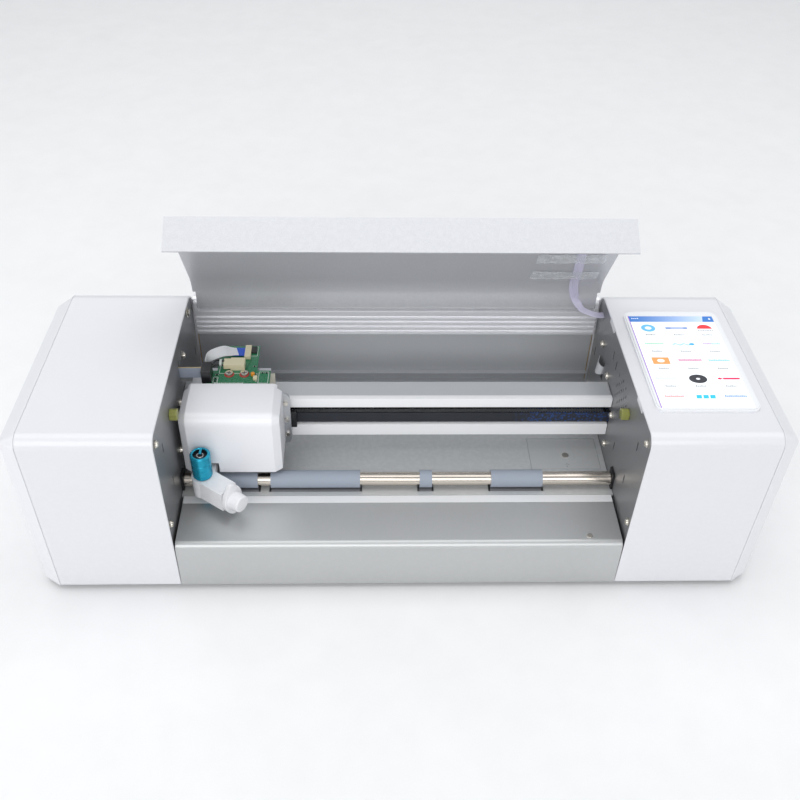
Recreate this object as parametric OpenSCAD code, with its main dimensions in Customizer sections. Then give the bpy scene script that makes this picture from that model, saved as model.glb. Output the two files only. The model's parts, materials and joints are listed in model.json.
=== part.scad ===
// Desktop film-cutting plotter: two side housings with bevelled ends, a steel bed with
// pinch and drive rollers, a knife carriage on a beam, a hinged rear lid and a touch screen.
// Millimetres, +Z up, +X to the machine's right, -Y to the operator.
// Machine heights are measured from the housings' bottom edge, depths from the front bottom edge;
// at_frame() moves every piece so that the feet stand on z = 0 and the footprint is centred.

/* [Housings] */
// Half the clear width between the two housings
gap_half = 157; // [156:0.5:158]
// Half width at which each end bevel starts
crease_half = 243; // [240:1:250]
// How far each end cap reaches past the crease
cap_out = 12; // [8:1:14]
// How much the end cap's outline shrinks towards its outer face
cap_in = 8; // [6:1:10]
// Height of the nose corner
nose_h = 145.5; // [144:0.5:148]
// Forward lean of the front face at the nose
nose_lean = 4.5; // [3:0.5:6]
// Height of the top's rear corner
rear_h = 139; // [138:0.5:142]
// Depth of the housings' rear face
rear_y = 175; // [174:0.5:176]
// Outer bend radius at the nose
nose_r = 9; // [7:0.5:11]
// Outer bend radius at the rear top corner
rear_r = 20; // [16:1:22]
// Sheet thickness of the housings
shell_t = 1.6; // [1.2:0.1:2]
// Height of the rubber feet
foot_h = 4; // [3:0.5:6]

/* [Bed] */
// Height of the bed's top face
bed_z = 42; // [41.5:0.1:42]
// Sheet thickness of the bed
bed_t = 1.5; // [1.2:0.1:1.8]
// Depth at which the cutting strip starts
strip_y = 40.4; // [40:0.1:41]
// Width of the cutting strip
strip_w = 7; // [6:0.5:7]
// Bend radius along the apron's top edge
apron_r = 5; // [4:0.5:6]

/* [Rollers] */
// Depth of both roller axes
roll_y = 57.8; // [57.6:0.1:58]
// Pinch shaft diameter
pinch_d = 10; // [9:0.5:10]
// Grey sleeve diameter
sleeve_d = 13; // [12.5:0.1:13]
// Drive roller diameter
drive_d = 16; // [15:0.1:16]
// Film gap between the rollers
film_gap = 0.3; // [0.3:0.1:0.4]

/* [Beam] */
// Depth of the beam's front face
beam_y = 94; // [94:0.5:95]
// Height of the beam's top face
beam_top = 95; // [94.5:0.5:95]
// Height of the drive belt's centre line
belt_z = 75.5; // [75:0.5:76]
// Width of the drive belt
belt_w = 9; // [8:0.5:9]

/* [Lid] */
// Opening angle of the lid measured from its closed position
lid_open = 57.5; // [50:0.5:60]
// Length of the lid from the hinge axis to the fold
lid_len = 124.5; // [122:0.5:127]
// Depth of the folded lip
lip_len = 23.5; // [22:0.5:26]
// Sheet thickness of the lid
lid_t = 1.4; // [1.2:0.1:1.6]

/* [Carriage] */
// Carriage centre line in X with the carriage parked
car_x = -119.5; // [-119.5:0.5:-118]
// Knife axis in X with the carriage parked
knife_x = -140; // [-140:0.5:-139]
// Knife axis depth
knife_y = 45.4; // [45.2:0.1:45.6]
// Gap under the blade tip with the knife raised
tip_gap = 2; // [1.8:0.1:2.4]

/* [Hidden] */
$fn = 64;
eps = 0.01;
arc_steps = 18;

plate_in = gap_half + 1.5;
plate_t = 2;
base_t = 2;
bed_half = plate_in - 0.3;
trim_half = gap_half - 0.3;

hinge_y = 174.5;
hinge_z = 125.5;
tube_r = 5.5;
pin_r = 3;
ear_t = 3;
rear_bar_y = 181;

// Unit directions of the housing outline, depth then height
front_len = norm([nose_lean, nose_h]);
front_n = [-nose_h, -nose_lean] / front_len;
top_run = rear_y + nose_lean;
top_drop = nose_h - rear_h;
top_len = norm([top_run, top_drop]);
top_n = [top_drop, top_run] / top_len;
top_tilt = atan2(top_drop, top_run);

// Where two outline lines, each moved inward by d, cross
function cross2(n1, c1, n2, c2) =
    let (det = n1[0] * n2[1] - n1[1] * n2[0])
    [(c1 * n2[1] - c2 * n1[1]) / det, (n1[0] * c2 - n2[0] * c1) / det];
nose_pt = [-nose_lean, nose_h];
front_c = front_n * nose_pt;
top_c = top_n * nose_pt;
nose_c = cross2(front_n, front_c - nose_r, top_n, top_c - nose_r);
rear_c = cross2([1, 0], rear_y - rear_r, top_n, top_c - rear_r);

front_y = nose_c[0] - nose_r;
mid_y = (front_y + rear_bar_y) / 2;

drive_z = bed_z + 0.1 - drive_d / 2;
pinch_z = bed_z + 0.1 + film_gap + sleeve_d / 2;
sleeves = [[-136, -103], [-93.7, -28.5], [15.1, 24.2], [67.7, 105.6]];

beam_d = 20;
rail_d = 4;
rail_up = [87, 95.3];
rail_low = [59.5, 69.8];
pulley_y = 103.5;
pulley_r = 6.1;
belt_t = 1.2;
belt_gap = 0.3;
pulley_x = 181;

cover_w = 70;
cover_bevel = 5;
cover_y = 54;
cover_low = 60;
cover_top = 111.6;
cover_back = 92;
pcb_z = 107;
pcb_screws = [-4.4, 6.6];

lid_gap = tube_r + 0.4;
lid_half = 155.3;
// The lid's sheet bends down to stand in front of the hinge tube
bend_r = 36;
tail_out = tube_r - 0.1 + lid_t;
kink_s = tail_out * cos(lid_open) + (lid_gap + tail_out * sin(lid_open)) * tan(lid_open);
bend_s = kink_s + bend_r * tan((90 - lid_open) / 2);
knob_turn = -36;
knob_z = 58;
knife_tip = bed_z + tip_gap;
arm_z0 = 57.6;
seat_z = 58;

disp_x0 = 165.8;
disp_w = 69.6;
disp_s0 = 27.4;
disp_l = 116;
disp_h = 2.4;
view_x0 = 168.6;
view_w = 62.4;
view_s0 = 29.8;
view_l = 106.8;

screw_r = 2.9;
inlet_x = [176.3, 205.7];
switch_x = [214.3, 228.7];
rocker_y = 170;
rocker_z = 33;
feed_y = 108;
feed_x = 171.5;
feed_r = 9;
shaft_r = 2.5;
bore_r = 2.55;
feed_face = 178.6;
x_motor_top = 64;
lift_y = 75;
lead_y = 159;
lead_z = 123.9;
screw_out = 37.1;
cover_screws = [66, 80, 96];
block_z = 50;

// Which node to draw

module at_frame() {
    translate([0, -mid_y, foot_h]) children();
}

// Extrude a drawing of depth and height along X between two X positions
module along_x(x0, x1) {
    translate([x0, 0, 0]) rotate([90, 0, 90]) linear_extrude(x1 - x0) children();
}

module box(x0, x1, y0, y1, z0, z1) {
    translate([x0, y0, z0]) cube([x1 - x0, y1 - y0, z1 - z0]);
}

module rod_x(x0, x1, y, z, r) {
    translate([x0, y, z]) rotate([0, 90, 0]) cylinder(r = r, h = x1 - x0);
}

module mirror_pair() {
    children();
    mirror([1, 0, 0]) children();
}

// Points of an arc about c from angle a0 to angle a1
function arc(c, r, a0, a1) =
    [for (i = [0:arc_steps]) let (a = a0 + (a1 - a0) * i / arc_steps) c + r * [cos(a), sin(a)]];

// Housing outline moved inward by d, cut off level at the height low
module outline(d, low) {
    front_a = 180 + atan2(nose_lean, nose_h);
    foot = [(front_c - d) / front_n[0] - low * nose_lean / nose_h, low];
    back = rear_c[0] + rear_r - d;
    polygon(concat([foot], arc(nose_c, nose_r - d, front_a, 90 - top_tilt),
        arc(rear_c, rear_r - d, 90 - top_tilt, 0), [[back, low]]));
}

module base_plate() {
    color("#8b8e92") at_frame() {
        difference() {
            union() {
                box(-crease_half + 1, crease_half - 1, 2, 173, 0, base_t);
                box(-crease_half - 8, crease_half + 8, 12, 163, 0, base_t);
            }
            for (x = [-200, 200], y = [60, 72, 84, 96]) box(x - 24, x + 24, y, y + 3, -1, 3);
            for (x = [-90:30:90]) box(x - 10, x + 10, 88, 91, -1, 3);
        }
    }
}

// Steel side plate with the openings that both sides share
module side_plate() {
    difference() {
        along_x(plate_in, plate_in + plate_t) {
            difference() {
                outline(shell_t + 0.3, 2.1);
                translate([roll_y - 5.2, pinch_z - 7]) square([10.4, 15]);
                translate([roll_y, drive_z]) circle(d = 16.2);
                translate([pulley_y - 9.5, belt_z - 6.5]) square([19, 13]);
            }
        }
        for (p = [[70, 69.6], [24, 113], [34.7, 71.1], [163, 86], [114, 120], [103, 119]])
            box(plate_in - 1, plate_in + 4, p[0] - 0.9, p[0] + 0.9, p[1] - 4, p[1] + 4);
    }
}

module side_plate_left() {
    color("#707377") at_frame() {
        difference() {
            mirror([1, 0, 0]) side_plate();
            box(-plate_in - 4, -plate_in + 1, 100, 103.5, 108, 122);
        }
    }
}

module side_plate_right() {
    color("#707377") at_frame() {
        difference() {
            side_plate();
            box(plate_in - 1, plate_in + 4, 131, 136, 82, 98);
            box(plate_in - 1, plate_in + 4, lead_y - 4.2, lead_y + 4.2, lead_z - 1.4, lead_z + 1.4);
            for (row = [0:6], col = [0:3]) {
                skip = (row == 0 || row == 6) && (col == 0 || col == 3);
                y = 64 + col * 8 + (row % 2) * 4;
                z = 96 + row * 4.6;
                if (!skip) box(plate_in - 1, plate_in + 4, y - 0.7, y + 0.7, z - 1.5, z + 1.5);
            }
        }
    }
}

// Folded sheet wrap over front, top and rear, open underneath and on both sides
module wrap() {
    along_x(gap_half, crease_half) {
        difference() {
            outline(0, 0);
            outline(shell_t, -5);
        }
    }
}

module housing_left() {
    color("#efeff2") at_frame() mirror([1, 0, 0]) wrap();
}

module housing_right() {
    color("#efeff2") at_frame() {
        difference() {
            wrap();
            on_top() box(disp_x0 + 6, disp_x0 + disp_w - 6, disp_s0 + 6, disp_s0 + disp_l - 6, -6, 3);
            for (x = [inlet_x, switch_x]) box(x[0] - 0.3, x[1] + 0.3, rear_y - 5, rear_y + 5, 22, 44);
        }
    }
}

// Bevelled end: the outline shrinks towards the outer face
module end_cap() {
    difference() {
        hull() {
            along_x(crease_half, crease_half + 0.4) outline(0, 0);
            along_x(crease_half + cap_out - 0.1, crease_half + cap_out) outline(cap_in, 0);
        }
        hull() {
            along_x(crease_half - 1, crease_half + 0.4) outline(shell_t, -1);
            along_x(crease_half + cap_out - 2.1, crease_half + cap_out - 2) outline(cap_in + 1.6, -1);
        }
    }
}

module end_cap_left() {
    color("#e9e9ed") at_frame() mirror([1, 0, 0]) end_cap($fn = 40);
}

module end_cap_right() {
    color("#e9e9ed") at_frame() end_cap($fn = 40);
}

// Apron and front bed folded from one sheet
module front_bed() {
    color("#b4b7b8") at_frame() {
        along_x(-trim_half, trim_half) {
            translate([0, 0.2]) square([bed_t, bed_z - apron_r - 0.2]);
            translate([apron_r, bed_z - bed_t]) square([strip_y - 0.3 - apron_r, bed_t]);
            translate([apron_r, bed_z - apron_r]) intersection() {
                difference() {
                    circle(r = apron_r);
                    circle(r = apron_r - bed_t);
                }
                translate([-apron_r - 1, 0]) square(apron_r + 1);
            }
        }
        box(-trim_half, trim_half, 30, 32, 24, bed_z - bed_t + eps);
    }
}

module cutting_strip() {
    color("#e4e8ea") at_frame() box(-trim_half, trim_half, strip_y, strip_y + strip_w, bed_z - 3, bed_z);
}

module rear_bed() {
    color("#a9abaa") at_frame() {
        difference() {
            union() {
                box(-bed_half, bed_half, strip_y + strip_w + 0.2, 168, bed_z - bed_t, bed_z);
                box(-bed_half, bed_half, 166.5, 168, 26, bed_z - bed_t + eps);
                box(-bed_half, bed_half, 78, 80, 24, bed_z - bed_t + eps);
            }
            for (s = sleeves) box(s[0] - 1.5, s[1] + 1.5, roll_y - 6.4, roll_y + 6.4, 30, bed_z + 1);
            box(101, bed_half - 4, 74, 108, bed_z - 0.7, bed_z + 1);
            translate([129, 76.5, 30]) cylinder(d = 3.2, h = 20);
        }
    }
}

module bed_hatch() {
    color("#b2b4b4") at_frame() {
        difference() {
            box(101.3, bed_half - 4.3, 74.3, 107.7, bed_z - 0.7, bed_z);
            translate([129, 78.5, 30]) cylinder(d = 3.2, h = 20);
        }
    }
}

module rear_panel() {
    color("#8f8f93") at_frame() {
        box(-trim_half, trim_half, 172.4, 174, 49, 96.9);
        for (z = [49, 57.5]) box(-trim_half, trim_half, 168.6, 172.5, z, z + 1.4);
    }
}

// Grooved bar across the back with one ear at each end for the lid's hinge
module hinge_bar() {
    color("#85878b") at_frame() {
        difference() {
            union() {
                along_x(-trim_half, trim_half) {
                    difference() {
                        translate([170, 97]) square([rear_bar_y - 170, 22.3]);
                        for (z = [99.5, 104, 108.5, 113]) translate([169, z]) square([2.4, 2.2]);
                        translate([173, 100]) square([5.5, 14]);
                    }
                }
                for (s = [-1, 1]) {
                    x0 = s > 0 ? trim_half - ear_t : -trim_half;
                    box(x0, x0 + ear_t, hinge_y - tube_r, hinge_y + tube_r, 119, hinge_z);
                    rod_x(x0, x0 + ear_t, hinge_y, hinge_z, tube_r);
                }
            }
            rod_x(-trim_half - 1, trim_half + 1, hinge_y, hinge_z, pin_r);
        }
    }
}

module hinge_pins() {
    color("#b9bbbd") at_frame() mirror_pair() rod_x(144, trim_half, hinge_y, hinge_z, pin_r);
}

module beam() {
    color("#b3b5b6") at_frame() {
        along_x(-bed_half, bed_half) {
            translate([beam_y + rail_d, rail_up[0]]) square([beam_d - rail_d, beam_top - rail_up[0]]);
            translate([beam_y + rail_d, rail_low[0]]) square([beam_d - rail_d, rail_low[1] - rail_low[0]]);
            translate([beam_y + beam_d - 2.2, rail_low[0]]) square([2.2, beam_top - rail_low[0]]);
        }
    }
}

module upper_rail() {
    color("#f1f1f3") at_frame()
        box(-bed_half, bed_half, beam_y, beam_y + rail_d, rail_up[0], rail_up[1]);
}

module lower_rail() {
    color("#f1f1f3") at_frame()
        box(-bed_half, bed_half, beam_y, beam_y + rail_d, rail_low[0], rail_low[1]);
}

// Sliding blocks that carry the pinch shaft in the plates' upright slots
module bushings() {
    color("#1c1c1e") at_frame() mirror_pair() {
        difference() {
            box(plate_in - 1.6, plate_in + 5, roll_y - 5, roll_y + 5, pinch_z - 6.8, pinch_z + 7);
            rod_x(plate_in - 3, plate_in + 7, roll_y, pinch_z, pinch_d / 2 - 2 + 0.05);
        }
    }
}

module drive_bearings() {
    color("#9a9c9f") at_frame() mirror_pair() {
        difference() {
            rod_x(plate_in - 0.2, plate_in + 4.8, roll_y, drive_z, 8);
            rod_x(plate_in - 2, plate_in + 7, roll_y, drive_z, 4.05);
        }
    }
}

// Pan head screw lying against a side plate, head towards the machine's middle
module plate_screw(y, z) {
    difference() {
        union() {
            rod_x(plate_in - 1.2, plate_in, y, z, screw_r);
            rod_x(plate_in - 2.1, plate_in - 1.1, y, z, screw_r * 0.72);
        }
        box(plate_in - 2.6, plate_in - 1.3, y - 1.7, y + 1.7, z - 0.35, z + 0.35);
        box(plate_in - 2.6, plate_in - 1.3, y - 0.35, y + 0.35, z - 1.7, z + 1.7);
    }
}

module plate_screws() {
    color("#d3cdbf") at_frame() {
        for (p = [[144, 108], [117, 98.5], [89, 83.5], [64, 106], [90.5, 53.5], [7, 132], [6, 58]])
            plate_screw(p[0], p[1]);
        mirror([1, 0, 0])
            for (p = [[118, 117], [111, 106], [86, 98.5], [7, 132], [66, 71.5], [6, 58]])
                plate_screw(p[0], p[1]);
        translate([129, 89, bed_z]) cylinder(r = 2.6, h = 0.4);
        translate([134, 7.5, bed_z]) cylinder(r = 2.2, h = 0.4);
    }
}

module lid_stops() {
    color("#a9a72f") at_frame() mirror_pair()
        translate([plate_in - 5.5, 55, 115]) rotate([0, 90, 0]) cylinder(d = 9, h = 5.5, $fn = 6);
}

module feet() {
    color("#2a2a2c") at_frame()
        for (x = [-215, 215], y = [28, 148]) translate([x, y, -foot_h]) cylinder(d = 18, h = foot_h);
}

// Work in the slope of the housing's top: X, distance back from the nose, height above the sheet
module on_top() {
    translate([0, -nose_lean, nose_h]) rotate([-top_tilt, 0, 0]) children();
}

module round_pad(x, y, w, l, r) {
    translate([x + r, y]) square([w - 2 * r, l]);
    translate([x, y + r]) square([w, l - 2 * r]);
    for (i = [0, 1], j = [0, 1])
        translate([x + r + i * (w - 2 * r), y + r + j * (l - 2 * r)]) circle(r = r);
}

module display_bezel() {
    color("#f6f7f8") at_frame() on_top() {
        difference() {
            union() {
                linear_extrude(disp_h - 0.8) round_pad(disp_x0, disp_s0, disp_w, disp_l, 7);
                linear_extrude(disp_h) round_pad(disp_x0 + 1, disp_s0 + 1, disp_w - 2, disp_l - 2, 6);
            }
            box(view_x0 - 0.1, view_x0 + view_w + 0.1,
                view_s0 - 0.1, view_s0 + view_l + 0.1, disp_h - 1.2, 4);
            box(view_x0 + 6, view_x0 + view_w - 6, view_s0 + 6, view_s0 + view_l - 6, -1, 3);
        }
    }
}

module display_panel() {
    color("#f4f8fb") at_frame() on_top()
        box(view_x0, view_x0 + view_w, view_s0, view_s0 + view_l, disp_h - 1.2, disp_h - 0.3);
}

module display_board() {
    color("#1f7a46") at_frame() on_top() {
        box(disp_x0 + 8, disp_x0 + disp_w - 8, disp_s0 + 8, disp_s0 + disp_l - 8, -5, -3.4);
        box(view_x0 + 10, view_x0 + view_w - 10, view_s0 + 10, view_s0 + view_l - 10, -3.4, 1);
        box(disp_x0 + 14, disp_x0 + 34, disp_s0 + 20, disp_s0 + 50, -9, -4.9);
    }
}

// Controller board standing on four pillars above the base plate
module mainboard() {
    color("#14713f") at_frame() {
        box(208, 238, 30, 132, 12, 13.6);
        for (x = [212, 234], y = [35, 127]) translate([x, y, 2]) cylinder(d = 5, h = 10.01);
        box(212, 234, 44, 66, 13.5, 22);
        box(214, 232, 78, 100, 13.5, 17);
        box(211, 235, 108, 122, 13.5, 25);
    }
}

module speaker() {
    color("#2b2c2f") at_frame() {
        difference() {
            rod_x(plate_in + plate_t, plate_in + 9, 78, 110, 16);
            rod_x(plate_in + plate_t - 1, plate_in + 3.5, 78, 110, 14);
        }
        rod_x(plate_in + 9 - eps, plate_in + 14, 78, 110, 9);
    }
}

// Plastic housing with a rim, set into a cut-out of the rear face
module panel_socket(x, wall) {
    difference() {
        union() {
            box(x[0], x[1], rear_y - 14, rear_y + 0.4, 22.3, 43.7);
            box(x[0] - 1.8, x[1] + 1.8, rear_y, rear_y + 0.8, 20.5, 45.5);
        }
        box(x[0] + wall, x[1] - wall, rear_y - 12, rear_y + 2, 22.3 + wall, 43.7 - wall);
    }
}

module power_inlet() {
    color("#26272a") at_frame() {
        panel_socket(inlet_x, 2.7);
        for (x = [184, 191, 198]) box(x - 1, x + 1, rear_y - 12 - eps, rear_y - 3, 31, 35);
        panel_socket(switch_x, 1.7);
    }
}

// Rocker of the mains switch, two slanted faces about a barrel
module power_rocker() {
    color("#3a3b3f") at_frame() along_x(switch_x[0] + 2.1, switch_x[1] - 2.1)
        translate([rocker_y, rocker_z]) {
            circle(r = 4);
            polygon([[0, -7.2], [5, -7.2], [4.2, 0], [6.6, 7.2], [0, 7.2]]);
        }
}

// Square motor body with its shaft along +Z, top face at z = 0
module motor(size, len) {
    translate([-size / 2, -size / 2, -len]) cube([size, size, len]);
    cylinder(d = 22, h = 2);
}

module x_motor() {
    color("#303236") at_frame() translate([-pulley_x, pulley_y, x_motor_top]) difference() {
        motor(40, 36);
        translate([0, 0, -10]) cylinder(r = bore_r, h = 20);
    }
}

module feed_motor() {
    color("#303236") at_frame() translate([feed_face, feed_y, drive_z]) rotate([0, -90, 0]) difference() {
        motor(36, 28);
        translate([0, 0, -16]) cylinder(r = bore_r, h = 20);
    }
}

// Folded brackets for the two motors and for the idler at the belt's far end
module drive_brackets() {
    color("#9b9ea2") at_frame() {
        difference() {
            union() {
                box(-203, -plate_in - plate_t, 82, 125, x_motor_top, x_motor_top + 1.6);
                for (y = [[82, 93], [114, 125]])
                    box(-plate_in - plate_t - 1.6, -plate_in - plate_t, y[0], y[1], x_motor_top, 92);
            }
            translate([-pulley_x, pulley_y, 60]) cylinder(r = 11.2, h = 10);
        }
        difference() {
            union() {
                for (z = [66.5, 83]) box(plate_in + plate_t, 191, 86, 121, z, z + 1.5);
                for (y = [[86, 93], [114, 121]])
                    box(plate_in + plate_t, plate_in + plate_t + 1.6, y[0], y[1], 66.5, 84.5);
            }
            translate([pulley_x, pulley_y, 60]) cylinder(r = bore_r, h = 30);
        }
        difference() {
            union() {
                box(feed_face - 1.6, feed_face, 88, 128, base_t, 54);
                box(feed_face - 1.6, 198, 88, 128, base_t, base_t + 1.6);
            }
            translate([feed_face - 5, feed_y, drive_z]) rotate([0, 90, 0]) cylinder(r = 11.2, h = 10);
        }
    }
}

// Closed belt round two pulleys, drawn as a ring of two half circles and two straights
module belt_loop(span, r) {
    difference() {
        belt_outline(span, r + belt_t);
        belt_outline(span, r);
    }
}

module belt_outline(span, r) {
    translate([0, -r]) square([span, 2 * r]);
    circle(r = r);
    translate([span, 0]) circle(r = r);
}

module drive_belt() {
    color("#23262e") at_frame()
        translate([-pulley_x, pulley_y, belt_z - belt_w / 2])
            linear_extrude(belt_w) belt_loop(2 * pulley_x, pulley_r + belt_gap);
}

module feed_belt() {
    color("#23262e") at_frame()
        translate([feed_x - 3, roll_y, drive_z]) rotate([90, 0, 90])
            linear_extrude(6) belt_loop(feed_y - roll_y, feed_r + belt_gap);
}

// Flanged pulley round its own Z axis, centred on z = 0
module pulley(r, w, bore) {
    difference() {
        union() {
            cylinder(r = r, h = w, center = true);
            for (s = [-1, 1]) translate([0, 0, s * (w / 2 + 0.5)])
                cylinder(r = r + 2, h = 1, center = true);
        }
        cylinder(r = bore, h = w + 10, center = true);
    }
}

module motor_pulley() {
    color("#c8cacc") at_frame() translate([-pulley_x, pulley_y, belt_z]) {
        pulley(pulley_r, belt_w + 0.8, shaft_r - eps);
        translate([0, 0, -20]) cylinder(r = shaft_r, h = 27);
    }
}

module idler_pulley() {
    color("#c8cacc") at_frame() translate([pulley_x, pulley_y, belt_z]) {
        pulley(pulley_r, belt_w + 0.8, shaft_r - eps);
        translate([0, 0, -12]) cylinder(r = shaft_r, h = 24);
    }
}

module feed_pinion() {
    color("#c8cacc") at_frame() translate([feed_x, feed_y, drive_z]) rotate([0, 90, 0]) {
        pulley(feed_r, 6.8, shaft_r - eps);
        translate([0, 0, -6]) cylinder(r = shaft_r, h = 26);
    }
}

// Knurled drive roller with its shaft and feed pulley
module drive_roller() {
    color("#6d6f72") at_frame() {
        rod_x(-164.5, 176, roll_y, drive_z, 4);
        for (s = sleeves) rod_x(s[0], s[1], roll_y, drive_z, drive_d / 2);
        translate([feed_x, roll_y, drive_z]) rotate([0, 90, 0]) pulley(feed_r, 6.8, 4 - eps);
    }
}

module pinch_roller() {
    color("#9aa3af") at_frame() {
        rod_x(-plate_in + 2.2, plate_in - 2.2, roll_y, pinch_z, pinch_d / 2);
        rod_x(-plate_in - 4, plate_in + 4, roll_y, pinch_z, pinch_d / 2 - 2);
        for (s = sleeves) rod_x(s[0], s[1], roll_y, pinch_z, sleeve_d / 2);
    }
}

// Position relative to the parked carriage's centre
module on_carriage() {
    translate([car_x, 0, 0]) children();
}

module carriage_frame() {
    color("#c9ccd0") at_frame() on_carriage() {
        difference() {
            union() {
                translate([0, 90.6, 0]) rotate([90, 0, 0]) linear_extrude(2) round_pad(-34, 56, 74, 49.2, 6);
                box(-31, 25, 88.6, 117.5, 103.2, 105.2);
                box(-30, 25, 115.5, 117.5, 92, 103.4);
                box(-20, 20, 58, 88.7, 102, 104);
                box(30, 32, 60, 88.7, 62, 104);
                for (x = [-29.6, -12.1]) box(x, x + 2.8, 64, 88.7, 70, 96);
            }
            for (z = cover_screws)
                translate([screw_out, 80, z]) rotate([-90, 0, 0]) cylinder(d = 1.6, h = 20);
        }
    }
}

module glide_shoes() {
    color("#e9e4d8") at_frame() on_carriage() for (x = [-26, 20]) {
        box(x, x + 8, 90.6, 93.7, rail_up[0] - 1, 103.2);
        box(x, x + 8, 90.6, 114, 95.6, 103.2);
        box(x, x + 8, 90.6, 93.7, 57, rail_low[1] + 1);
    }
}

// Side view of the cover: flat front, rounded bend, flat top
module cover_side(d) {
    r = 8;
    translate([cover_y + d, cover_low - 2]) square([cover_back - cover_y - d, cover_top - cover_low + 2 - r]);
    translate([cover_y + r, cover_low - 2]) square([cover_back - cover_y - r, cover_top - cover_low + 2 - d]);
    translate([cover_y + r, cover_top - r]) circle(r = r - d, $fn = 32);
}

// Solid form of the cover moved inward by d, with a bevel along the front and top of both sides
module cover_form(d) {
    side = cover_w / 2 - d;
    nose = cover_w / 2 - cover_bevel - d * 0.6;
    hull() {
        along_x(-nose, nose) cover_side(d);
        along_x(-side, side) cover_side(d + cover_bevel - 1);
    }
}

module carriage_cover() {
    color("#f2f3f6") at_frame() on_carriage() {
        difference() {
            cover_form(0);
            cover_form(1.4);
            box(-36, 36, cover_y - 1, cover_back + 1, cover_low - 5, cover_low);
            box(-30, -10, cover_y - 2, cover_y + 3, cover_low - 1, cover_low + 9);
            box(-36, 36, 88.4, cover_back + 1, cover_low - 1, cover_top - 1.4);
        }
    }
}

module belt_clamp() {
    color("#1d1e21") at_frame() on_carriage() {
        box(36, 44, 90.6, 93.6, 70.4, 84.5);
        box(37, 43, 93.5, 95.5, 71, 80);
    }
}

// Coil inside the cover, whose plunger presses the knife arm down
module lift_solenoid() {
    color("#3d4046") at_frame() on_carriage() {
        box(-2, 22, lift_y - 9, lift_y + 9, 70, 99);
        translate([10, lift_y, 99 - eps]) cylinder(d = 8, h = 3 + eps);
        translate([10, lift_y, 61.4]) cylinder(d = 5, h = 9);
    }
}

// T-shaped board lying on the carriage's top plate
module carriage_board() {
    color("#0b7a43") at_frame() on_carriage() {
        difference() {
            union() {
                box(-20, 25.5, 94.5, 110.5, pcb_z, pcb_z + 1.6);
                box(-13.5, 15.5, 110, 140, pcb_z, pcb_z + 1.6);
            }
            for (x = pcb_screws) translate([x, 106, pcb_z - 1]) cylinder(d = 3.2, h = 4);
        }
        for (x = pcb_screws) translate([x, 106, 105.2]) difference() {
            cylinder(d = 5, h = pcb_z - 105.2);
            translate([0, 0, -1]) cylinder(d = 3.2, h = 6);
        }
    }
}

module board_connectors() {
    color("#e9e2c4") at_frame() on_carriage() translate([0, 0, pcb_z + 1.6]) {
        box(5, 9.5, 123.5, 137.5, 0, 2.8);
        box(-4, 6.5, 110.4, 119.4, 0, 5.2);
        box(-9, -4.01, 111, 118.8, 0.8, 4.8);
        box(13.5, 16.5, 99, 102.5, 0, 2);
    }
}

// White flat cable on the board, bent in an arc from the clamp to its connector
module board_ribbon() {
    color("#f4f5f7") at_frame() on_carriage() {
        translate([0, 0, pcb_z + 2.6]) {
            box(-10, 4.9, 126, 135, 0, 0.5);
            intersection() {
                translate([-10, 122, 0]) difference() {
                    cylinder(r = 13, h = 0.5);
                    translate([0, 0, -1]) cylinder(r = 4, h = 3);
                }
                box(-30, -9.99, 110, 140, -1, 2);
            }
        }
    }
}

module cable_clamp() {
    color("#17181a") at_frame() on_carriage() {
        box(-23, -17.2, 96, 108, 105.2, 106.9);
        box(-23, -16.2, 96, 108, 108.7, 119);
        box(-23, -20.2, 97, 107, 106.8, 108.8);
    }
}

module carriage_screws() {
    color("#c9c3b5") at_frame() on_carriage() {
        for (x = pcb_screws) translate([x, 106, pcb_z + 1.6]) cylinder(d = 5.4, h = 1.8);
        for (z = cover_screws)
            translate([screw_out, 88.6, z]) rotate([90, 0, 0]) cylinder(d = 3.4, h = 1.6);
    }
}

// Flat cable from the left side plate to the carriage's clamp
module carriage_ribbon() {
    color("#a8b0bd") at_frame()
        box(-plate_in - 1, car_x - 23, 101.5, 102, 109.2, 118.6);
}

// Knife coordinates: origin on the knife axis at the bed
module on_knife() {
    translate([knife_x, knife_y, 0]) children();
}

// Axis of the clamp screw, square to the knife
module along_knob() {
    translate([0, 0, knob_z]) rotate([0, 0, knob_turn]) rotate([0, 90, 0]) children();
}

module knife_arm() {
    color("#f0f1f3") at_frame() on_knife() {
        difference() {
            union() {
                translate([0, 0, block_z]) cylinder(r = 8.2, h = 16);
                translate([0, 0, block_z]) rotate([0, 0, knob_turn]) box(0, 24, -7.5, 7.5, 0, 16);
                box(-6, 8, 4, 24, arm_z0, 65.5);
                box(-6, 8, 22, 27, arm_z0, 98);
                box(7.9, 34, 24, 33, arm_z0, 61);
            }
            translate([0, 0, 40]) cylinder(r = 4.4, h = 40);
            translate([0, 0, seat_z]) cylinder(r = 6.3, h = 30);
            box(-12, 30, 5.5, 12, block_z - 1, arm_z0);
            along_knob() cylinder(r = bore_r, h = 40);
            rotate([0, 0, 158]) box(4, 12, -0.9, 0.9, 49, 67);
        }
    }
}

// Knob, wing and screw that press on the knife holder
module clamp_knob() {
    color("#ffffff") at_frame() on_knife() along_knob() {
        translate([0, 0, 7]) cylinder(r = 2.5, h = 19);
        translate([0, 0, 24.6]) cylinder(r = 8.5, h = 2.6);
        for (s = [-1, 1]) translate([s * 7.6, 0, 24.6]) cylinder(r = 5.6, h = 2.6);
        translate([0, 0, 27]) cylinder(r1 = 8.3, r2 = 7.6, h = 9.5);
    }
}

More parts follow.
